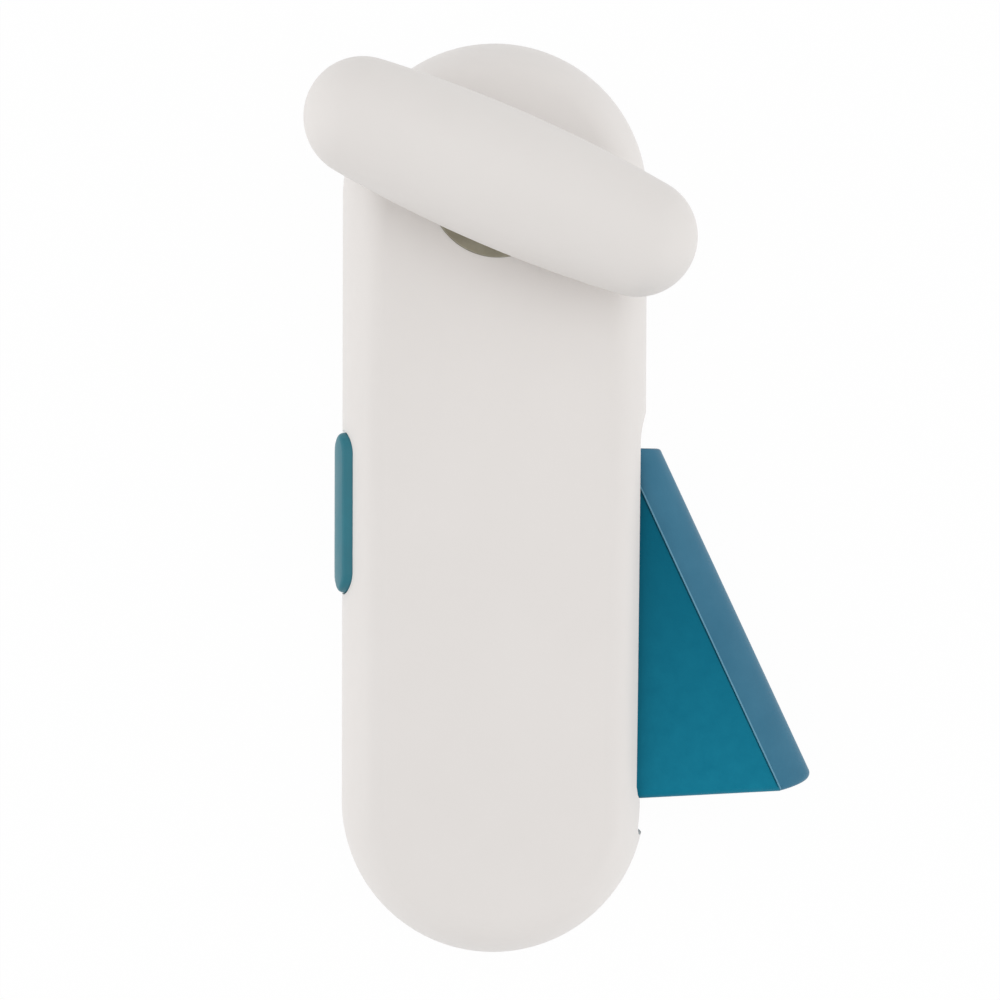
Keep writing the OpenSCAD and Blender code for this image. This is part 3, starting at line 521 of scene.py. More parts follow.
class Groups:
    """Shader node groups that several finishes share, each built once."""

    @staticmethod
    def start(
        name: str, inputs: dict[str, Kind], outputs: dict[str, Kind]
    ) -> tuple[Net, bpy.types.NodeOutputs, bpy.types.NodeInputs]:
        """Makes an empty group with its sockets.

        Args:
            name: The group's name.
            inputs: Socket name to its kind.
            outputs: Socket name to its kind.

        Returns:
            The group's net, what it's given, and what it gives.
        """
        net = Net(bpy.data.node_groups.new(name, "ShaderNodeTree"))
        for way, sockets in (("INPUT", inputs), ("OUTPUT", outputs)):
            for key, kind in sockets.items():
                net.tree.interface.new_socket(name=key, in_out=way, socket_type=kind.value)
        return net, net.add("NodeGroupInput").outputs, net.add("NodeGroupOutput").inputs

    @staticmethod
    @cache
    def grain() -> bpy.types.NodeTree:
        """The fine pebbled grain of a moulded surface, as a height.

        Returns:
            The node tree.
        """
        net, given, result = Groups.start(
            "moulded grain", {"Vector": Kind.VECTOR, "Scale": Kind.FLOAT}, {"Height": Kind.FLOAT}
        )
        place, scale = given["Vector"], given["Scale"]
        soft = {"Vector": place, "Scale": scale, "Smoothness": 0.7}
        cells = net.add("ShaderNodeTexVoronoi", soft, feature="SMOOTH_F1")
        fine = net.noise(place, scale, 3.0, 0.55)
        net.put(net.math("MULTIPLY_ADD", cells.outputs["Distance"], 0.45, fine), result["Height"])
        return net.tree

    @staticmethod
    @cache
    def clouds() -> bpy.types.NodeTree:
        """A slow variation of a colour and of a gloss value over the surface.

        Returns:
            The node tree.
        """
        net, given, result = Groups.start(
            "slow clouds",
            {
                "Vector": Kind.VECTOR,
                "Dark": Kind.COLOUR,
                "Light": Kind.COLOUR,
                "Smoothest": Kind.FLOAT,
                "Roughest": Kind.FLOAT,
                "Scale": Kind.FLOAT,
            },
            {"Color": Kind.COLOUR, "Roughness": Kind.FLOAT},
        )
        share = net.spread(net.noise(given["Vector"], given["Scale"], 4.0, 0.6), 0.3, 0.7)
        net.put(net.blend(share, given["Dark"], given["Light"]), result["Color"])
        net.put(net.spread(share, 0.0, 1.0, given["Smoothest"], given["Roughest"]), result["Roughness"])
        return net.tree

    @staticmethod
    @cache
    def edge_wear_and_highlight() -> bpy.types.NodeTree:
        """A mask that is 1 along an edge: where handling polishes it, and on the rail, where a lighter
        colour paints the edge's highlight.

        Returns:
            The node tree.
        """
        net, given, result = Groups.start(
            "edge wear",
            {"Vector": Kind.VECTOR, "Width": Kind.FLOAT, "Amount": Kind.FLOAT},
            {"Mask": Kind.FLOAT},
        )
        rounded = net.add("ShaderNodeBevel", {"Radius": given["Width"]}, samples=4).outputs["Normal"]
        plain = net.add("ShaderNodeNewGeometry").outputs["Normal"]
        facing = net.add("ShaderNodeVectorMath", {0: rounded, 1: plain}, operation="DOT_PRODUCT")
        bend = net.spread(facing.outputs["Value"], 0.995, 0.86)
        patches = net.spread(net.noise(given["Vector"], 420.0, 5.0, 0.65), 0.38, 0.62)
        wear_and_highlight = net.math("MULTIPLY", bend, patches)
        net.put(net.math("MULTIPLY", wear_and_highlight, given["Amount"]), result["Mask"])
        return net.tree

    @staticmethod
    @cache
    def tool_marks() -> bpy.types.NodeTree:
        """Fine parallel tool marks along one axis of a metal surface, as a height.

        Returns:
            The node tree.
        """
        net, given, result = Groups.start(
            "tool marks", {"Vector": Kind.VECTOR, "Stretch": Kind.VECTOR}, {"Height": Kind.FLOAT}
        )
        both = {0: given["Vector"], 1: given["Stretch"]}
        scaled = net.add("ShaderNodeVectorMath", both, operation="MULTIPLY")
        net.put(net.noise(scaled.outputs[0], 1.0, 4.0, 0.6), result["Height"])
        return net.tree


def rgba(colour: Colour) -> tuple[float, float, float, float]:
    """Makes a colour opaque."""
    return (*colour, 1.0)


@dataclass(frozen=True)
class Finish:
    """What every finish has: a clouded colour and gloss, a colour along its edges for wear (on the
    rail, a painted highlight) and a fine relief.
    """

    name: str
    slot: str
    dark: Colour
    light: Colour
    smoothest: float
    roughest: float

    def material(self) -> bpy.types.Material:
        """Builds the finish, or gives the one that was built.

        Returns:
            The material.
        """
        if self.name not in bpy.data.materials:
            made = bpy.data.materials.new(self.name)
            made.use_nodes = True
            net = Net(made.node_tree)
            place = net.add("ShaderNodeTexCoord").outputs["Object"]
            self.surface(net, made.node_tree.nodes["Principled BSDF"].inputs, place)
        return bpy.data.materials[self.name]

    def surface(self, net: Net, shader: bpy.types.NodeInputs, place: Socket) -> None:
        """Builds the nodes; each kind of finish has its own.

        Args:
            net: The material's net.
            shader: The inputs of its shader.
            place: The surface's own coordinates.
        """
        raise NotImplementedError

    def tint(
        self, net: Net, shader: bpy.types.NodeInputs, place: Socket, scale: float, wear: dict
    ) -> Socket:
        """Adds the clouds and the colour along the edges (wear, and on the rail a painted highlight),
        and sets the gloss.

        Args:
            net: The material's net.
            shader: The inputs of its shader.
            place: The surface's own coordinates.
            scale: The clouds' scale, in 1/m.
            wear: The colour, width and amount laid along the edges, for wear, and on the rail for a
                painted highlight.

        Returns:
            The colour.
        """
        clouds = net.group(
            Groups.clouds(),
            Vector=place,
            Dark=rgba(self.dark),
            Light=rgba(self.light),
            Smoothest=self.smoothest,
            Roughest=self.roughest,
            Scale=scale,
        )
        mask = net.group(Groups.edge_wear_and_highlight(), Vector=place, Width=wear["width"], Amount=wear["amount"])
        net.put(clouds["Roughness"], shader["Roughness"])
        return net.blend(mask["Mask"], clouds["Color"], rgba(wear["colour"]))

    def relief(self, net: Net, shader: bpy.types.NodeInputs, height: Socket, depth: float) -> None:
        """Bumps the surface by a height, as deep as given."""
        bump = net.add("ShaderNodeBump", {"Strength": 1.0, "Distance": depth, "Height": height})
        net.put(bump.outputs["Normal"], shader["Normal"])


@dataclass(frozen=True)
class Plastic(Finish):
    """A moulded plastic finish."""

    grain_scale: float
    grain_depth: float
    # the colour laid along the edges: wear on most plastics, a painted highlight on the rail
    wear_and_highlight: Colour
    wear: float = 0.25
    cloud_scale: float = 45.0
    shine: float = 0.5
    # painted shade: a darker colour that the part blends into towards its hinge end, along Y
    deep: Colour | None = None
    shade_from: float = 4 * MM
    shade_to: float = -60 * MM
    wear_width: float = 0.35 * MM
    bending: float = 1.49

    def surface(self, net: Net, shader: bpy.types.NodeInputs, place: Socket) -> None:
        """Builds the grained plastic.

        Args:
            net: The material's net.
            shader: The inputs of its shader.
            place: The surface's own coordinates.
        """
        wear = {"colour": self.wear_and_highlight, "width": self.wear_width, "amount": self.wear}
        colour = self.tint(net, shader, place, self.cloud_scale, wear)
        # painted shade: darker towards the hinge, lighter towards the foot
        if self.deep is not None:
            colour = self.painted_shade_along(net, place, colour)
        net.put(self.bending, shader["IOR"])
        net.put(self.shine, shader["Specular IOR Level"])
        net.put(colour, shader["Base Color"])
        grain = net.group(Groups.grain(), Vector=place, Scale=self.grain_scale)
        self.relief(net, shader, grain["Height"], self.grain_depth)

    def painted_shade_along(self, net: Net, place: Socket, pale: Socket) -> Socket:
        """Paints shade along the part, blending from the deep colour, a painted shade at the hinge end,
        to the pale one.

        Args:
            net: The material's net.
            place: The surface's own coordinates.
            pale: The colour at the far end.

        Returns:
            The blended colour.
        """
        along = net.add("ShaderNodeSeparateXYZ", {0: place}).outputs["Y"]
        return net.blend(net.spread(along, self.shade_from, self.shade_to), rgba(self.deep), pale)


class Marks(Enum):
    """How a metal surface was worked, as the stretch of its tool marks in 1/m."""

    ROLLED = (180.0, 4200.0, 4200.0)
    TURNED = (900.0, 900.0, 9000.0)
    GROUND = (5200.0, 700.0, 5200.0)
    DRAWN = (2600.0, 2600.0, 2600.0)


@dataclass(frozen=True)
class Metal(Finish):
    """A worked metal finish."""

    marks: Marks
    depth: float = 4e-6
    wear: float = 0.5
    wear_width: float = 0.2 * MM
    polish: float = 1.25
    cloud_scale: float = 260.0

    def surface(self, net: Net, shader: bpy.types.NodeInputs, place: Socket) -> None:
        """Builds the worked metal.

        Args:
            net: The material's net.
            shader: The inputs of its shader.
            place: The surface's own coordinates.
        """
        bright = tuple(min(1.0, self.polish * c) for c in self.light)
        wear = {"colour": bright, "width": self.wear_width, "amount": self.wear}
        net.put(1.0, shader["Metallic"])
        net.put(self.tint(net, shader, place, self.cloud_scale, wear), shader["Base Color"])
        lines = net.group(Groups.tool_marks(), Vector=place, Stretch=self.marks.value)
        self.relief(net, shader, lines["Height"], self.depth)


COVER_WHITE = Plastic(
    "cover white", "cover_white", (0.742, 0.711, 0.688), (0.760, 0.729, 0.707), 0.36, 0.44, 2600.0,
    5e-6, (0.83, 0.81, 0.79), 0.2, 30.0
)
KNOB_WHITE = Plastic(
    "knob white", "knob_white", (0.742, 0.711, 0.688), (0.760, 0.730, 0.707), 0.42, 0.5, 2300.0,
    7e-6, (0.83, 0.81, 0.79), 0.2, 34.0
)
# teal web: its last colour is a painted shade that darkens the web towards its hinge
TEAL = Plastic(
    "teal plastic", "teal_plastic", (0.0050, 0.172, 0.268), (0.0075, 0.196, 0.298), 0.36, 0.48, 1100.0,
    3.0e-5, (0.02, 0.24, 0.33), 0.25, 260.0, 0.05, (0.0004, 0.098, 0.160)
)
# painted sheen: the rail's lighter, greyer teal stands in for the reflection of the pale surroundings,
# and its light edge colour at 0.9 is a painted highlight along its edges
RAIL_SHEEN_TEAL = Plastic(
    "rail teal", "teal_plastic", (0.032, 0.150, 0.242), (0.044, 0.174, 0.272), 0.38, 0.5, 1900.0,
    1.0e-5, (0.22, 0.46, 0.60), 0.9, 90.0, 0.2
)
# painted highlight: the pale teal of the beads stands in for the light caught along the rail's edge
BEAD_HIGHLIGHT_TEAL = Plastic(
    "bead teal", "teal_plastic", (0.115, 0.285, 0.395), (0.130, 0.310, 0.425), 0.38, 0.5, 1900.0,
    4.0e-6, (0.16, 0.36, 0.48), 0.2, 90.0, 0.2
)
PAD_TEAL = Plastic(
    "pad teal", "teal_plastic", (0.003, 0.140, 0.190), (0.007, 0.168, 0.222), 0.40, 0.52, 1900.0,
    1.0e-5, (0.05, 0.27, 0.33), 0.4, 90.0, 0.55
)
ZINC = Metal(
    "zinc plated steel", "plated_steel", (0.56, 0.57, 0.58), (0.68, 0.69, 0.70), 0.22, 0.34,
    Marks.TURNED
)
ROLLED_STEEL = Metal(
    "rolled steel", "brushed_steel", (0.50, 0.50, 0.49), (0.62, 0.62, 0.61), 0.28, 0.42,
    Marks.ROLLED, 5e-6
)
TOOL_STEEL = Metal(
    "ground tool steel", "hardened_steel", (0.48, 0.48, 0.49), (0.62, 0.62, 0.63), 0.16, 0.28,
    Marks.GROUND
)
SPRING_WIRE = Metal(
    "spring wire", "spring_steel", (0.30, 0.31, 0.33), (0.42, 0.43, 0.45), 0.3, 0.44, Marks.DRAWN
)
BRASS = Metal(
    "turned brass", "bearing_brass", (0.60, 0.42, 0.17), (0.76, 0.57, 0.27), 0.24, 0.38, Marks.TURNED
)
RING_STEEL = Metal(
    "ring steel", "ring_steel", (0.27, 0.25, 0.19), (0.36, 0.34, 0.27), 0.36, 0.5, Marks.TURNED, 6e-6
)


def fit(obj: Object, body: str, finish: Finish, *nodes: str) -> None:
    """Finishes a new piece and puts it in place of the nodes that it stands for.

    Args:
        obj: The piece.
        body: The body that it rides on.
        finish: Its finish.
        nodes: The nodes that it replaces.
    """
    obj.data.materials.clear()
    obj.data.materials.append(finish.material())
    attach(obj, body)
    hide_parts(*nodes)
    LOG.info("%s: %d faces, on %s", obj.name, len(obj.data.polygons), body)


# ---------------------------------------------------------------- the body


@dataclass(frozen=True)
class Corner:
    """One pair of corners of a window in the body's side."""

    y: float
    half: float
    radius: float = 0.0


@dataclass
class Housing:
    """The white body: a front and a rear cover that share one rounded section."""

    half_width: float = 31.5 * MM
    thickness: float = 26.0 * MM
    side_radius: float = 16.0 * MM
    edge_radius: float = 7.0 * MM
    side_strips: int = 12
    edge_strips: int = 9
    face_strips: int = 4
    end_strips: int = 64
    corner_strips: int = 24
    wall: float = 2.2 * MM
    seam: float = 0.1 * MM
    seam_bevel: float = 0.16 * MM
    plate_top: float = 10.0 * MM
    step_y: float = 29.7 * MM
    step_lap: float = 0.01 * MM
    step_gap: float = 0.2 * MM
    beyond: float = 1 * MM  # how far a tool reaches past what it cuts
    screw_posts: tuple[Point, ...] = (
        (12.25 * MM, -79.68 * MM),
        (-12.25 * MM, -79.68 * MM),
        (-21.1 * MM, -47.5 * MM),
        (-21.1 * MM, 22.5 * MM),
    )
    plate_posts: tuple[Point, ...] = (
        (19.1 * MM, 71.1 * MM),
        (-19.1 * MM, 71.1 * MM),
        (19.1 * MM, 39.5 * MM),
        (-19.1 * MM, 39.5 * MM),
    )
    post_radius: float = 3.6 * MM
    screw_radius: float = 1.25 * MM
    screw_bore_top: float = 21 * MM
    plate_bore_top: float = 19.4 * MM
    recess_radius: float = 2.9 * MM
    recess_depth: float = 5.0 * MM
    hinge_post: Point = (19.5 * MM, 22.0 * MM)
    hinge_foot: Point = (4.0 * MM, 6.5 * MM)
    latch: Point = (-12.16 * MM, -8.91 * MM)
    latch_post_low: float = 15.7 * MM
    latch_rise: float = 0.3 * MM
    pin_radius: float = 1.52 * MM
    pin_bore: Point = (3.4 * MM, 22.6 * MM)
    boss_radius: float = 3.2 * MM
    spring_peg: Point = (22.4 * MM, 23.7 * MM)
    peg_radius: float = 1 * MM
    peg_top: float = 10.5 * MM
    bush_radius: float = 5.07 * MM
    bush_wall: float = 2.4 * MM
    bush_low: float = 16.8 * MM
    front_bore_low: float = 5 * MM
    rear_bore_top: float = 14 * MM
    ring_radius: float = 13.85 * MM
    ring_seat: float = 1.2 * MM
    window_reach: float = 20 * MM
    lever_window: tuple[Corner, ...] = (
        Corner(-69.3 * MM, 7.3 * MM, 3.0 * MM),
        Corner(-61.6 * MM, 7.3 * MM),
        Corner(-60.6 * MM, 8.2 * MM),
        Corner(-58.8 * MM, 8.7 * MM),
        Corner(18.6 * MM, 7.3 * MM, 7.29 * MM),
    )
    button_window: tuple[Corner, ...] = (
        Corner(-19.7 * MM, 8.4 * MM, 4.9 * MM),
        Corner(13.9 * MM, 8.4 * MM, 4.9 * MM),
    )

    def half_form(self, rise: int) -> Object:
        """Sweeps the rounded section round the body, open at the seam.

        Args:
            rise: 1 for the front half and -1 for the rear half.

        Returns:
            The open surface.
        """
        reach = self.side_radius - self.edge_radius
        lean = math.asin((SEAM_Z - self.edge_radius) / reach)
        turned = math.degrees(lean)
        wide = self.half_width - self.side_radius
        head = HEAD[1]
        small = (wide + reach * math.cos(lean), head, SEAM_Z + rise * reach * math.sin(lean))
        form = seed("half form", (self.half_width, head, SEAM_Z))
        with editing(form):
            sweep((wide, head, SEAM_Z), (0, -rise, 0), turned, self.side_strips)
            sweep(small, (0, -rise, 0), 90.0 - turned, self.edge_strips)
            for _ in range(self.face_strips):
                draw((-small[0] / self.face_strips, 0, 0))
            select_whole()
            for end in (head, -head):
                sweep((0, end, 0), UP, 180.0, self.end_strips)
                pull((0, -2 * end, 0))
        close_up(form)
        with editing(form):
            slice_off((0, 0, SEAM_Z + rise * self.seam / 2), (0, 0, rise), ahead=False, fill=False)
        return form

    def shell(self, name: str, rise: int) -> Object:
        """Gives the open form its wall and a fine bevel along the seam.

        Args:
            name: The new object's name.
            rise: 1 for the front half and -1 for the rear half.

        Returns:
            The hollow half.
        """
        half = rename(self.half_form(rise), name)
        inwards = {"offset": -1.0, "use_even_offset": True, "use_rim": True}
        finish_modifier(half, "SOLIDIFY", thickness=self.wall, **inwards)
        rim = SEAM_Z + rise * self.seam / 2
        outside = self.half_width - 0.3 * MM

        def on_rim(middle: Vector, normal: Vector) -> bool:
            along = max(0.0, abs(middle.y) - HEAD[1])
            return abs(middle.z - rim) < 0.02 * MM and math.hypot(middle.x, along) > outside

        soften(half, self.seam_bevel, SHARP, 1, on_rim)
        return half

    def window_tool(self, side: int, steps: Sequence[Corner]) -> Object:
        """Makes the tool that cuts a long window in a side.

        Args:
            side: 1 for the lever's side and -1 for the button's.
            steps: The window's corners, from the foot up.

        Returns:
            The cutting tool.
        """
        x = side * self.window_reach
        z = SEAM_Z
        corners = [(x, step.y, z - step.half) for step in steps]
        corners += [(x, step.y, z + step.half) for step in reversed(steps)]
        tool = outline("window tool", corners, (x, 0, 0))
        for step in steps:
            if step.radius == 0.0:
                continue

            def at_corner(m: Vector, n: Vector) -> bool:
                return max(abs(m.y - step.y), abs(abs(m.z - z) - step.half), abs(m.x - 1.5 * x)) < HAIR

            with editing(tool):
                pick(tool, Part.EDGES, at_corner)
                bpy.ops.mesh.bevel(
                    offset=step.radius, segments=self.corner_strips, profile=0.5, affect="EDGES"
                )
        return tool

    def finished(self, cover: Object) -> Object:
        """Cuts the lever's and the button's windows into a cover, and cleans it."""
        for side, steps in ((1, self.lever_window), (-1, self.button_window)):
            work(cover, Join.CUT, self.window_tool(side, steps))
        return cleaned(cover)

    def front(self) -> Object:
        """Models the front cover, with its posts, the ring's seat and the shaft's bore.

        Returns:
            The front cover.
        """
        cover = self.shell("front_cover_shell", 1)
        roof, foot = self.thickness - self.wall / 2, SEAM_Z + self.seam / 2
        work(
            cover,
            Join.FUSE,
            *rods(self.post_radius, foot, roof, self.screw_posts),
            *rods(self.post_radius, self.plate_top, roof, self.plate_posts),
            rod(self.bush_radius + self.bush_wall, self.bush_low, roof, HEAD),
            rod(self.boss_radius, self.latch_post_low, roof, self.latch, 32),
            rod(self.boss_radius, *self.hinge_post, HINGE, 32),
        )
        low, top = self.front_bore_low, self.thickness + self.beyond
        work(
            cover,
            Join.CUT,
            *rods(self.screw_radius, low, self.screw_bore_top, self.screw_posts, 24),
            *rods(self.screw_radius, low, self.plate_bore_top, self.plate_posts, 24),
            *rods(self.pin_radius, low, self.pin_bore[1], (HINGE, self.latch), 24),
            rod(self.bush_radius, low, top, HEAD),
        )
        work(cover, Join.CUT, rod(self.ring_radius, self.thickness - self.ring_seat, top, HEAD, 128))
        return self.finished(cover)

    def rear(self) -> Object:
        """Models the rear cover, cut back under the head, with its posts and screw recesses.

        Returns:
            The rear cover.
        """
        cover = self.shell("rear_cover_shell", -1)
        solid = self.half_form(-1)
        with editing(solid):
            bpy.ops.mesh.select_all(action="DESELECT")
            bpy.ops.mesh.select_mode(type="EDGE")
            bpy.ops.mesh.select_non_manifold()
            bpy.ops.mesh.edge_face_add()
        wide, below = 35 * MM, -self.beyond
        step = block(
            (-wide, self.step_y - self.wall, below),
            (wide, self.step_y + self.step_lap, self.plate_top - self.step_gap),
        )
        work(step, Join.KEEP, solid)
        work(cover, Join.FUSE, step)
        floor, top = self.wall / 2, SEAM_Z - self.seam / 2
        work(
            cover,
            Join.FUSE,
            *rods(self.post_radius, floor, top, self.screw_posts),
            rod(self.boss_radius, floor, SEAM_Z + self.latch_rise, self.latch, 32),
            rod(self.boss_radius, *self.hinge_foot, HINGE, 32),
            rod(self.peg_radius, floor, self.peg_top, self.spring_peg, 24),
        )
        wide = 40 * MM
        work(cover, Join.CUT, block((-wide, self.step_y, below), (wide, 0.1, self.plate_top)))
        work(
            cover,
            Join.CUT,
            *rods(self.screw_radius, below, self.rear_bore_top, self.screw_posts, 24),
            *rods(self.pin_radius, self.pin_bore[0], self.rear_bore_top, (HINGE, self.latch), 24),
        )
        work(cover, Join.CUT, *rods(self.recess_radius, below, self.recess_depth, self.screw_posts, 48))
        return self.finished(cover)

    def build(self) -> None:
        """Builds and dresses both covers."""
        fit(self.front(), "housing", COVER_WHITE, "front_cover")
        fit(self.rear(), "housing", COVER_WHITE, "rear_cover")


@dataclass
class BearingRing:
    """The steel ring that the bar turns over, let into the front face."""

    outer: float = 13.8 * MM
    inner: float = 11.4 * MM
    low: float = 24.8 * MM
    high: float = 26.3 * MM
    chamfer: float = 0.15 * MM
    strips: int = 144

    def build(self) -> None:
        """Models the ring from a small profile with broken edges, and dresses it."""
        x, y = HEAD
        ring = seed("bearing_ring_turned", (x + self.outer, y, self.low))
        rise = self.high - self.low - self.chamfer
        width = self.outer - self.inner - 2 * self.chamfer
        cut = self.chamfer
        with editing(ring):
            for step in ((0, 0, rise), (-cut, 0, cut), (-width, 0, 0), (-cut, 0, -cut), (0, 0, -rise)):
                draw(step)
            select_whole()
            bpy.ops.mesh.edge_face_add()
            bpy.ops.mesh.delete(type="ONLY_FACE")
            select_whole()
            sweep((x, y, 0), UP, 360.0, self.strips)
        close_up(ring)
        smooth(ring, 24.0)
        fit(ring, "housing", RING_STEEL, "bearing_ring")


# ---------------------------------------------------------------- the bar


@dataclass
class TurningBar:
    """The white barrel that turns the drive, as an upper shell and a lower plate."""

    axis_z: float = 41.0 * MM
    length: float = 81.0 * MM
    width: float = 26.5 * MM
    end_radius: float = 11.6 * MM
    end_strips: int = 20
    strips: int = 112
    floor: float = 29.2 * MM
    floor_round: float = 0.9 * MM
    round_strips: int = 5
    joint: float = 31.65 * MM
    joint_gap: float = 0.1 * MM
    joint_bevel: float = 0.14 * MM
    wall: float = 2.4 * MM
    tilt: float = -23.0
    neck_radius: float = 10.2 * MM
    neck_low: float = 25.2 * MM
    neck_lap: float = 1 * MM
    neck_round: float = 0.3 * MM
    bore: float = 5.22 * MM
    reach: float = 0.1  # half the side of a block that is wider than the bar

    def barrel(self, name: str, inset: float = 0.0) -> Object:
        """Draws the barrel's profile and spins it round its long axis.

        Args:
            name: The new object's name.
            inset: How far it's drawn in all round.

        Returns:
            The closed barrel, turned into its place.
        """
        x, y = HEAD
        span = self.length / 2 - self.end_radius
        rise = self.width / 2 - self.end_radius
        far = (span * span - rise * rise) / (2 * rise)
        end = self.end_radius - inset
        half = math.degrees(math.atan2(span, far))
        form = seed(name, (x + span + end, y, self.axis_z))
        with editing(form):
            sweep((x + span, y, self.axis_z), (0, -1, 0), 90.0 - half, self.end_strips)
            sweep((x, y, self.axis_z - far), (0, -1, 0), 2 * half, 2 * self.end_strips)
            sweep((x - span, y, self.axis_z), (0, -1, 0), 90.0 - half, self.end_strips)
            select_whole()
            sweep((x, y, self.axis_z), (1, 0, 0), 360.0, self.strips)
        close_up(form)
        turn(form, self.tilt, HEAD)
        return form

    def between(self, low: float, high: float) -> Object:
        """Gives a block that is wider than the bar, between two heights."""
        return block((-self.reach, -self.reach, low), (self.reach, 2 * self.reach, high))

    def build(self) -> None:
        """Models and dresses the shell and the plate."""
        shell = self.barrel("knob_barrel")
        work(shell, Join.CUT, self.barrel("hollow", self.wall))
        work(shell, Join.CUT, self.between(-self.reach, self.joint + self.joint_gap / 2))
        soften(shell, self.joint_bevel, 50.0, 1)
        fit(cleaned(shell), "knob", KNOB_WHITE, "knob_shell")

        plate = self.barrel("knob_underside")
        work(plate, Join.CUT, self.between(self.joint - self.joint_gap / 2, self.reach))
        work(plate, Join.CUT, self.between(-self.reach, self.floor))
        low, high = self.floor + 0.05 * MM, self.joint - 0.1 * MM
        soften(plate, self.floor_round, 30.0, self.round_strips, lambda m, n: m.z < low)
        soften(plate, self.joint_bevel, SHARP, 1, lambda m, n: m.z > high)
        neck = rod(self.neck_radius, self.neck_low, self.joint - self.neck_lap, HEAD, self.strips)
        soften(neck, self.neck_round)
        work(plate, Join.FUSE, neck)
        work(plate, Join.CUT, rod(self.bore, 0.0, self.reach / 2, HEAD))
        fit(cleaned(plate), "knob", KNOB_WHITE, "knob_base")


# ---------------------------------------------------------------- the lever


@dataclass
class SqueezeLever:
    """The teal lever: a hollow wedge between two webs, and a half-round rail for the hand, whose
    lighter teal is a painted sheen.

    It's modelled upright, with its hinge at the origin, then swung out and moved to the hinge.
    """

    swing: float = 25.2
    rail_x: float = -0.1 * MM
    rail_flat: float = 1.3 * MM
    rail_radius: float = 6.5 * MM
    rail_sides: int = 96
    rail_top: float = -9.6 * MM
    rail_foot: float = -85.0 * MM
    rail_past: float = 2 * MM
    rail_round: float = 1.7 * MM
    foot_strips: int = 10
    head_strips: int = 6
    rail_edge: float = 0.22 * MM
    rail_hollow: float = 3.2 * MM
    head_drop: float = 6.2 * MM
    head_round: float = 1.5 * MM
    foot_rise: float = 0.6 * MM
    foot_fall: float = 0.5 * MM
    foot_bevel: float = 2.2 * MM
    groove: float = 0.3 * MM
    bead_width: float = 0.3 * MM
    bead_sink: float = 0.02 * MM
    bead_top: float = 6.46 * MM
    bead_drop: float = 0.3 * MM
    bead_round: float = 0.06 * MM
    bead_ends: Point = (0.6 * MM, 0.9 * MM)
    joint_lap: float = 0.05 * MM
    web_half: float = 6.2 * MM
    web_rise: float = 0.4 * MM
    web_in: float = 0.4 * MM
    web_reach: float = 78.8 * MM
    web_head: float = 3 * MM
    hollow_half: float = 4.4 * MM
    hollow_past: float = 6 * MM
    hollow_step: float = 0.9 * MM
    wall: float = 1.8 * MM
    ear: float = 2.9 * MM
    pin: float = 1.55 * MM
    rivets: tuple[Point, ...] = ((2.2 * MM, -14.0 * MM), (2.2 * MM, -33.0 * MM))
    rivet_bore: float = 1.12 * MM
    boss_radius: float = 2.2 * MM
    boss_sink: float = 0.5 * MM
    crank_gap: Point = (13.58 * MM, 15.42 * MM)
    lug_layer: Point = (-0.9 * MM, 2.3 * MM)
    lug_span: Point = (2 * MM, 10 * MM)
    lug_round: float = 0.3 * MM
    top: float = 26 * MM

    @property
    def joint_x(self) -> float:
        """X of the joint between the rail and the webs."""
        return self.rail_x - self.rail_flat

    def turned(self, x: float, y: float) -> Point:
        """Gives a point of the swung-out lever as it lies in the upright lever's plan."""
        a = -math.radians(self.swing)
        return x * math.cos(a) - y * math.sin(a), x * math.sin(a) + y * math.cos(a)

    def layer(self, side: int, near: float, far: float) -> list[float]:
        """Gives the lower and upper Z of a layer that lies between two distances from the seam."""
        return sorted((SEAM_Z + side * near, SEAM_Z + side * far))

    def rail(self) -> Object:
        """Models the half-round rail, rounded at its foot and cut level at its head.

        Returns:
            The rail, upright at the origin.
        """
        length = self.rail_past - self.rail_foot
        middle = (self.rail_x, -length / 2, SEAM_Z)
        lying = (math.pi / 2, 0, 0)
        rail = cylinder("lever_rail", self.rail_radius, length, middle, lying, self.rail_sides)
        inner = self.joint_x
        level = Vector((*self.turned(0.0, 1.0), 0.0))
        corner = Vector((inner, self.rail_foot + self.foot_rise, 0.0))
        width = self.rail_radius + self.rail_flat
        foot = Vector((-self.foot_rise - self.foot_fall, -width, 0.0)).normalized()

        def at_foot(middle: Vector, normal: Vector) -> bool:
            return abs((middle - corner).dot(foot)) < HAIR

        def at_head(middle: Vector, normal: Vector) -> bool:
            return abs(middle.dot(level) + self.head_drop) < HAIR and middle.x > inner + 0.01 * MM

        with editing(rail):
            slice_off(corner, foot)
        soften(rail, self.rail_round, 40.0, self.foot_strips, at_foot)
        with editing(rail):
            slice_off((inner, 0, 0), (1, 0, 0), ahead=False)
        with editing(rail):
            slice_off(level * -self.head_drop, level)
        soften(rail, self.head_round, 40.0, self.head_strips, at_head)
        soften(rail, self.rail_edge, 50.0, 2, lambda middle, normal: abs(middle.x - inner) < HAIR)
        return rail

    def beads(self) -> Object:
        """Models the two fine beads that edge the rail beside the webs, whose pale teal is a painted
        highlight.

        Returns:
            Both beads as one piece, upright at the origin.
        """
        low = self.rail_foot + self.foot_rise + self.bead_ends[0]
        high = -self.head_drop - self.bead_ends[1]
        pair = []
        for side in (-1, 1):
            near, far = self.layer(side, self.bead_top - self.bead_drop, self.bead_top)
            inner, outer = self.joint_x - self.bead_sink, self.joint_x + self.bead_width
            pair.append(block((inner, low, near), (outer, high, far)))
            soften(pair[-1], self.bead_round)
        return gather("rail_beads", pair)

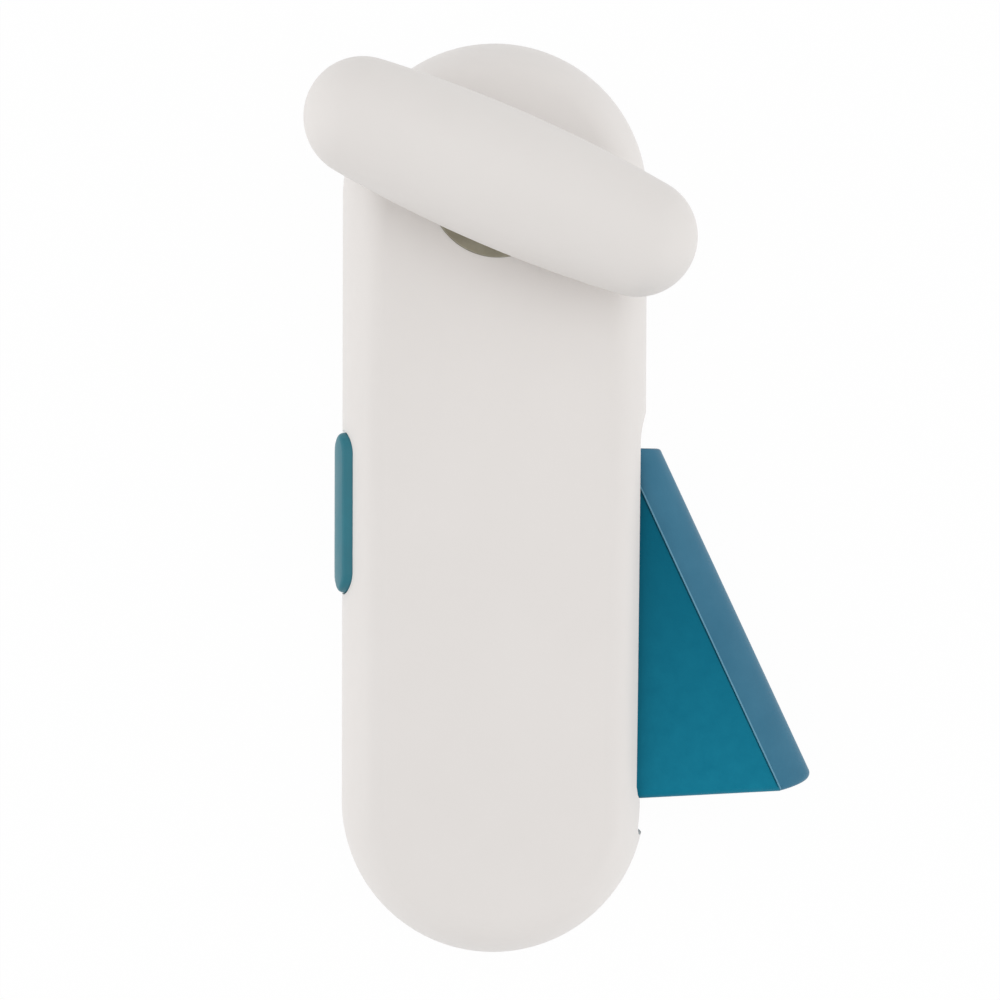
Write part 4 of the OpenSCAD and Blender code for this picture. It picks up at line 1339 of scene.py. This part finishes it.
    def web_form(self) -> Object:
        """Models the solid wedge with its neck up to the hinge.

        Returns:
            The wedge, upright at the origin.
        """
        low = SEAM_Z - self.web_half
        foot = self.turned(-self.web_in, -self.web_reach)
        outer = self.joint_x + self.joint_lap
        corner = (outer, self.rail_foot + self.web_rise)
        plan = [
            (outer, self.rail_top),
            corner,
            foot,
            self.turned(-self.web_in, -self.web_head),
            (-self.ear, 0.0),
            (self.pin - 0.05 * MM, 0.0),
            (1 * MM, self.rail_top - 1 * MM),
        ]
        web = outline("lever_web", [(x, y, low) for x, y in plan], (0, 0, 2 * self.web_half))
        slope = Vector((foot[0] - corner[0], foot[1] - corner[1])).normalized()

        def along_foot(middle: Vector, normal: Vector) -> bool:
            away = Vector((middle.x - corner[0], middle.y - corner[1]))
            outside = abs(abs(middle.z - SEAM_Z) - self.web_half) < HAIR
            return outside and abs(away.cross(slope)) < 0.02 * MM

        soften(web, self.foot_bevel, SHARP, self.head_strips, along_foot)
        return web

    def hollow(self) -> Object:
        """Makes the tool for the space between the two webs, open along the inner edge.

        Returns:
            The cutting tool.
        """
        low = SEAM_Z - self.hollow_half
        inner = -self.web_in - self.hollow_past
        deep = self.rail_x + self.rail_hollow
        above = self.ear + 1 * MM
        head, foot = self.rail_top - self.wall, self.rail_foot + self.wall
        plan = [
            (deep, head),
            (deep, foot + 1 * MM),
            (self.rail_x, foot),
            self.turned(inner, self.wall - self.web_reach),
            self.turned(inner, self.hollow_past),
            (above, above),
            (above, self.rail_top + 2 * MM),
            (self.rail_x - self.hollow_step, head),
        ]
        return outline("hollow", [(x, y, low) for x, y in plan], (0, 0, 2 * self.hollow_half))

    def lug(self, side: int) -> Object:
        """Models one of the two lugs that stop the lever in its window.

        Args:
            side: 1 for the front lug and -1 for the rear one.

        Returns:
            The lug.
        """
        near, far = self.layer(side, *(self.web_half + step for step in self.lug_layer))
        start, end = (step - self.web_reach for step in self.lug_span)
        lug = block((-self.web_in, start, near), (2 * MM - self.web_in, end, far))
        soften(lug, self.lug_round)
        turn(lug, -self.swing)
        return lug

    def work_web(self, web: Object, hollow: Object) -> None:
        """Gives the solid wedge its ear, its space inside, and its bosses, lugs, grooves and holes.

        Args:
            web: The wedge, upright at the origin.
            hollow: The tool for the space inside.
        """
        low, high = SEAM_Z - self.web_half, SEAM_Z + self.web_half
        work(web, Join.FUSE, rod(self.ear, low, high))
        work(web, Join.CUT, hollow)
        spots = [self.turned(x, y) for x, y in self.rivets]
        work(
            web,
            Join.FUSE,
            *rods(self.boss_radius, low + self.boss_sink, self.crank_gap[0], spots),
            *rods(self.boss_radius, self.crank_gap[1], high - self.boss_sink, spots),
        )
        work(web, Join.FUSE, self.lug(-1), self.lug(1))
        for side in (-1, 1):
            near, far = self.layer(side, self.web_half - self.groove, self.web_half + 1 * MM)
            start, end = self.joint_x - self.groove, self.joint_x + 1 * MM
            work(web, Join.CUT, block((start, 2 * self.rail_foot, near), (end, 0.0, far)))
        work(web, Join.CUT, *rods(self.rivet_bore, 0.0, self.top, spots), rod(self.pin, 0.0, self.top))

    def build(self) -> None:
        """Models, swings out and dresses the wedge, the rail and its beads; the rail's lighter teal is
        a painted sheen and the beads' pale teal a painted highlight.
        """
        web, rail, hollow = self.web_form(), self.rail(), self.hollow()
        work(rail, Join.CUT, hollow, keep_tool=True)
        self.work_web(web, hollow)
        # the rail's and the beads' lighter teals are a painted sheen and a painted highlight
        for piece, finish in ((web, TEAL), (rail, RAIL_SHEEN_TEAL), (self.beads(), BEAD_HIGHLIGHT_TEAL)):
            turn(piece, self.swing)
            piece.data.transform(Matrix.Translation((HINGE[0], HINGE[1], 0.0)))
            fit(cleaned(piece), "lever", finish, "squeeze_lever")


# ---------------------------------------------------------------- the button


@dataclass
class ReleaseButton:
    """The teal release button: a long domed pad with a flange, a pusher and a boss for its spring."""

    middle_y: float = -2.9 * MM
    half_height: float = 8.1 * MM
    length: float = 33.0 * MM
    side_centre_x: float = -15.5 * MM
    side_radius: float = 17.6 * MM
    end_run: float = 3.3 * MM
    end_drop: float = 2.1 * MM
    blend: float = 3.0
    outermost: float = -33.1 * MM
    blank_x: float = -26.0 * MM
    base_x: float = -23.0 * MM
    flange_x: float = -24.4 * MM
    flange_grow: float = 1.4 * MM
    edge_round: float = 0.5 * MM
    corner: float = 4.6 * MM
    outline_sides: int = 96
    loops: tuple[float, ...] = (*[0.06 * MM] * 2, *[0.12 * MM] * 4, *[0.3 * MM] * 6, *[0.6 * MM] * 3)
    strip: float = 0.65 * MM
    strips: int = 5
    stem_low: Point = (-23.5 * MM, 0.59 * MM, 12.5 * MM)
    stem_high: Point = (-15.27 * MM, 3.59 * MM, 15.5 * MM)
    tip_y: float = 2.09 * MM
    tip_radius: float = 1.5 * MM
    boss_radius: float = 1.95 * MM
    boss_depth: float = 1.8 * MM
    boss_x: float = -22.6 * MM
    boss_y: float = -15.4 * MM
    sides: int = 40
    lying: Point = (0, math.pi / 2, 0)

    def stadium(self, name: str, grow: float, x0: float, x1: float) -> Object:
        """Models a long rounded plate that stands across X.

        Args:
            name: The new object's name.
            grow: How much wider than the pad it is.
            x0: X of its inner face.
            x1: X of its outer face.

        Returns:
            The plate.
        """
        deselect()
        bpy.ops.mesh.primitive_circle_add(
            vertices=self.outline_sides,
            radius=self.corner + grow,
            fill_type="NGON",
            location=(x0, self.middle_y, SEAM_Z),
            rotation=self.lying,
        )
        plate = settle(name)
        reach = Vector((0.0, self.length / 2 - self.corner, self.half_height - self.corner))
        middle = Vector((x0, self.middle_y, SEAM_Z))
        with editing(plate):
            for axis in (1, 2):
                for side in (-1, 1):
                    pick(plate, Part.VERTS, lambda m, n: side * (m - middle)[axis] > 1e-7)
                    step = [side * reach[k] if k == axis else 0.0 for k in range(3)]
                    bpy.ops.transform.translate(value=step)
            select_whole()
            pull((x1 - x0, 0, 0))
            face_outwards()
        return plate

    def surface_x(self, y: float, z: float) -> float:
        """Gives the domed face's X above a point of the side.

        Args:
            y: The point's Y.
            z: The point's Z.

        Returns:
            The face's X there.
        """
        rise = z - SEAM_Z
        round_x = self.side_centre_x - math.sqrt(max(0.0, self.side_radius**2 - rise * rise))
        across = round_x - self.outermost
        past = (abs(y - self.middle_y) - self.length / 2 + self.end_run) / self.end_run
        along = self.end_drop * (1.0 - math.sqrt(1.0 - min(1.0, max(0.0, past)) ** 2))
        return self.outermost + (across**self.blend + along**self.blend) ** (1.0 / self.blend)

    def edge_drop(self, y: float, z: float) -> float:
        """Gives how far the face falls back near the pad's rounded edge.

        Args:
            y: The point's Y.
            z: The point's Z.

        Returns:
            The fall along X.
        """
        along = abs(y - self.middle_y) - self.length / 2 + self.corner
        up = abs(z - SEAM_Z) - self.half_height + self.corner
        past = math.hypot(along, up) if min(along, up) > 0.0 else max(along, up)
        depth = max(0.0, self.corner - past)
        if depth >= self.edge_round:
            return 0.0
        return self.edge_round - math.sqrt(self.edge_round**2 - (self.edge_round - depth) ** 2)

    def on_face(self, middle: Vector, normal: Vector) -> bool:
        """Tells whether a face belongs to the pad's outer side."""
        return normal.x < -0.9

    def on_top(self, middle: Vector, normal: Vector) -> bool:
        """Tells whether a face belongs to the innermost part of the pad's outer side."""
        inset = self.half_height - sum(self.loops) + 0.01 * MM
        inside = abs(middle.z - SEAM_Z) < inset and abs(middle.y - self.middle_y) < 1 * MM
        return inside and self.on_face(middle, normal)

    def pad(self) -> Object:
        """Models the pad by insetting its outer face into loops that follow the dome.

        Returns:
            The pad.
        """
        pad = self.stadium("button_moulding", 0.0, self.base_x, self.blank_x)
        with editing(pad):
            pick(pad, Part.FACES, self.on_face)
            for step in self.loops:
                bpy.ops.mesh.inset(thickness=step, use_even_offset=True)
            for k in range(-self.strips, self.strips + 1):
                place = (0.0, 0.0, SEAM_Z + k * self.strip)
                bpy.ops.mesh.bisect(plane_co=place, plane_no=UP)
                pick(pad, Part.FACES, self.on_top)
            bpy.ops.mesh.select_all(action="DESELECT")
        for vertex in pad.data.vertices:
            if vertex.co.x <= self.blank_x + 0.1 * MM:
                y, z = vertex.co.y, vertex.co.z
                vertex.co.x = self.surface_x(y, z) + self.edge_drop(y, z)
        return pad

    def build(self) -> None:
        """Models and dresses the button."""
        button = self.pad()
        work(button, Join.FUSE, self.stadium("flange", self.flange_grow, self.base_x, self.flange_x))
        stem = block(self.stem_low, self.stem_high)
        tip = (self.stem_high[0], self.tip_y)
        low, high = self.stem_low[2], self.stem_high[2]
        work(stem, Join.FUSE, rod(self.tip_radius, low, high, tip, self.sides))
        work(button, Join.FUSE, stem)
        middle = (self.boss_x, self.boss_y, SEAM_Z)
        boss = cylinder("boss", self.boss_radius, self.boss_depth, middle, self.lying, self.sides)
        work(button, Join.FUSE, boss)
        fit(cleaned(button), "button", PAD_TEAL, "release_button")


# ---------------------------------------------------------------- the mechanism


@dataclass
class Mechanism:
    """The metal pieces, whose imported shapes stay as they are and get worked-metal finishes."""

    finishes: tuple[tuple[Finish, tuple[str, ...]], ...] = (
        (ZINC, ("housing_screws", "base_plate_screws", "feed_wheel_screw", "crank_rivets")),
        (ZINC, ("thrust_washer", "cutter_axle")),
        (ROLLED_STEEL, ("base_plate", "slide_guide_pins", "cutter_slide", "lever_crank", "latch_pawl")),
        (ROLLED_STEEL, ("lever_pivot_pin", "latch_pivot_pin", "knob_hub")),
        (TOOL_STEEL, ("drive_shaft", "feed_wheel", "cutter_wheel", "crank_pin")),
        (SPRING_WIRE, ("shaft_clip", "lever_return_spring", "button_spring")),
        (BRASS, ("upper_bushing", "lower_bushing")),
    )

    def build(self) -> None:
        """Gives each packed metal piece its finish."""
        for finish, names in self.finishes:
            for name in names:
                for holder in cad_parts[name].material_slots:
                    holder.material = finish.material()
                LOG.info("%s: %s", name, finish.name)


# ---------------------------------------------------------------- studio


@dataclass(frozen=True)
class Lamp:
    """A soft square lamp that faces the object."""

    name: str
    place: Point
    size: float
    watts: float

    def build(self, target: Point) -> None:
        """Hangs the lamp.

        Args:
            target: What it faces.
        """
        data = bpy.data.lights.new(self.name, "AREA")
        data.size = self.size
        data.energy = self.watts
        lamp = bpy.data.objects.new(self.name, data)
        bpy.context.scene.collection.objects.link(lamp)
        lamp.location = self.place
        lamp.rotation_euler = (Vector(target) - Vector(self.place)).to_track_quat("-Z", "Y").to_euler()


@dataclass
class Studio:
    """The floor, the lamps, the pale surroundings and the camera."""

    target: Point = (1.18 * MM, -0.27 * MM, 13.0 * MM)
    distance: float = 0.420
    lens: float = 72.75
    side_angle: float = 2.56
    head_angle: float = -0.63
    roll: float = 0.16
    horizon_level: float = 1.13
    zenith_level: float = 0.8
    across_share: float = 0.7
    floor_size: float = 6.0
    floor_grey: Colour = (0.9, 0.9, 0.9)
    floor_rough: float = 0.7
    floor_shine: float = 0.2
    floor_white: float = 0.97
    white: Colour = (1.0, 1.0, 1.0)
    lamps: tuple[Lamp, ...] = (
        Lamp("key lamp", (0.0, 0.15, 0.8), 0.6, 0.4),
        Lamp("left lamp", (-0.75, 0.0, 0.22), 0.5, 0.25),
        Lamp("right lamp", (0.6, -0.35, 0.3), 0.4, 0.25),
    )

    def surroundings(self) -> None:
        """Sets the pale light all round, a little stronger from the sides than the ends."""
        world = bpy.data.worlds.new("soft surroundings")
        bpy.context.scene.world = world
        world.use_nodes = True
        net = Net(world.node_tree)
        plain = world.node_tree.nodes["Background"]
        way = net.add("ShaderNodeTexCoord").outputs["Generated"]
        axes = net.add("ShaderNodeSeparateXYZ", {0: way}).outputs
        fade = net.spread(axes["Z"], 0.0, 1.0, self.horizon_level, self.zenith_level)
        across, along = (net.math("MULTIPLY", axes[axis], axes[axis]) for axis in ("X", "Y"))
        share = net.math("MULTIPLY_ADD", net.math("SUBTRACT", across, along), self.across_share, 1.0)
        net.put(rgba(self.white), plain.inputs["Color"])
        net.put(net.math("MULTIPLY", share, fade), plain.inputs["Strength"])
        seen = net.add("ShaderNodeBackground", {"Color": rgba(self.white), "Strength": 1.0})
        net.mix_shaders(net.seen_directly(), plain.outputs[0], seen.outputs[0], "World Output")

    def floor(self) -> None:
        """Adds the pale floor, which keeps a faint shadow."""
        deselect()
        bpy.ops.mesh.primitive_plane_add(size=self.floor_size, location=(0, 0, 0))
        floor = settle("studio_floor")
        made = bpy.data.materials.new("studio floor")
        made.use_nodes = True
        net = Net(made.node_tree)
        shader = made.node_tree.nodes["Principled BSDF"]
        net.put(rgba(self.floor_grey), shader.inputs["Base Color"])
        net.put(self.floor_rough, shader.inputs["Roughness"])
        net.put(self.floor_shine, shader.inputs["Specular IOR Level"])
        glow = net.add("ShaderNodeEmission", {"Strength": 1.0})
        part = net.math("MULTIPLY", net.seen_directly(), self.floor_white)
        net.mix_shaders(part, shader.outputs[0], glow.outputs[0], "Material Output")
        floor.data.materials.append(made)

    def camera(self) -> None:
        """Sets up the camera, square over the front face and a little to the left."""
        data = bpy.data.cameras.new("studio camera")
        data.lens = self.lens
        data.sensor_width = 36.0
        data.clip_start = 0.01
        camera = bpy.data.objects.new("studio camera", data)
        bpy.context.scene.collection.objects.link(camera)
        aim = (
            Matrix.Rotation(-math.radians(self.side_angle), 4, "Y")
            @ Matrix.Rotation(math.radians(self.head_angle), 4, "X")
            @ Matrix.Rotation(math.radians(self.roll), 4, "Z")
        )
        place = Matrix.Translation(self.target)
        camera.matrix_world = place @ aim @ Matrix.Translation((0, 0, self.distance))
        bpy.context.scene.camera = camera

    def build(self) -> None:
        """Sets up everything round the object."""
        bpy.context.scene.view_settings.view_transform = "Standard"
        self.camera()
        self.surroundings()
        self.floor()
        for lamp in self.lamps:
            lamp.build(self.target)
        LOG.info("studio: camera, floor and lamps are up")


def corners(box: tuple[Vector, Vector]) -> list[list[float]]:
    """Turns a box into plain lists of numbers."""
    return [list(box[0]), list(box[1])]


def main() -> None:
    """Builds every piece in order."""
    logging.basicConfig(level=logging.INFO, format="%(name)s: %(message)s")
    deselect()
    for piece in (Studio, Housing, BearingRing, TurningBar, SqueezeLever, ReleaseButton, Mechanism):
        piece().build()
    deselect()
    bpy.context.view_layer.update()


if __name__ == "__main__":
    main()
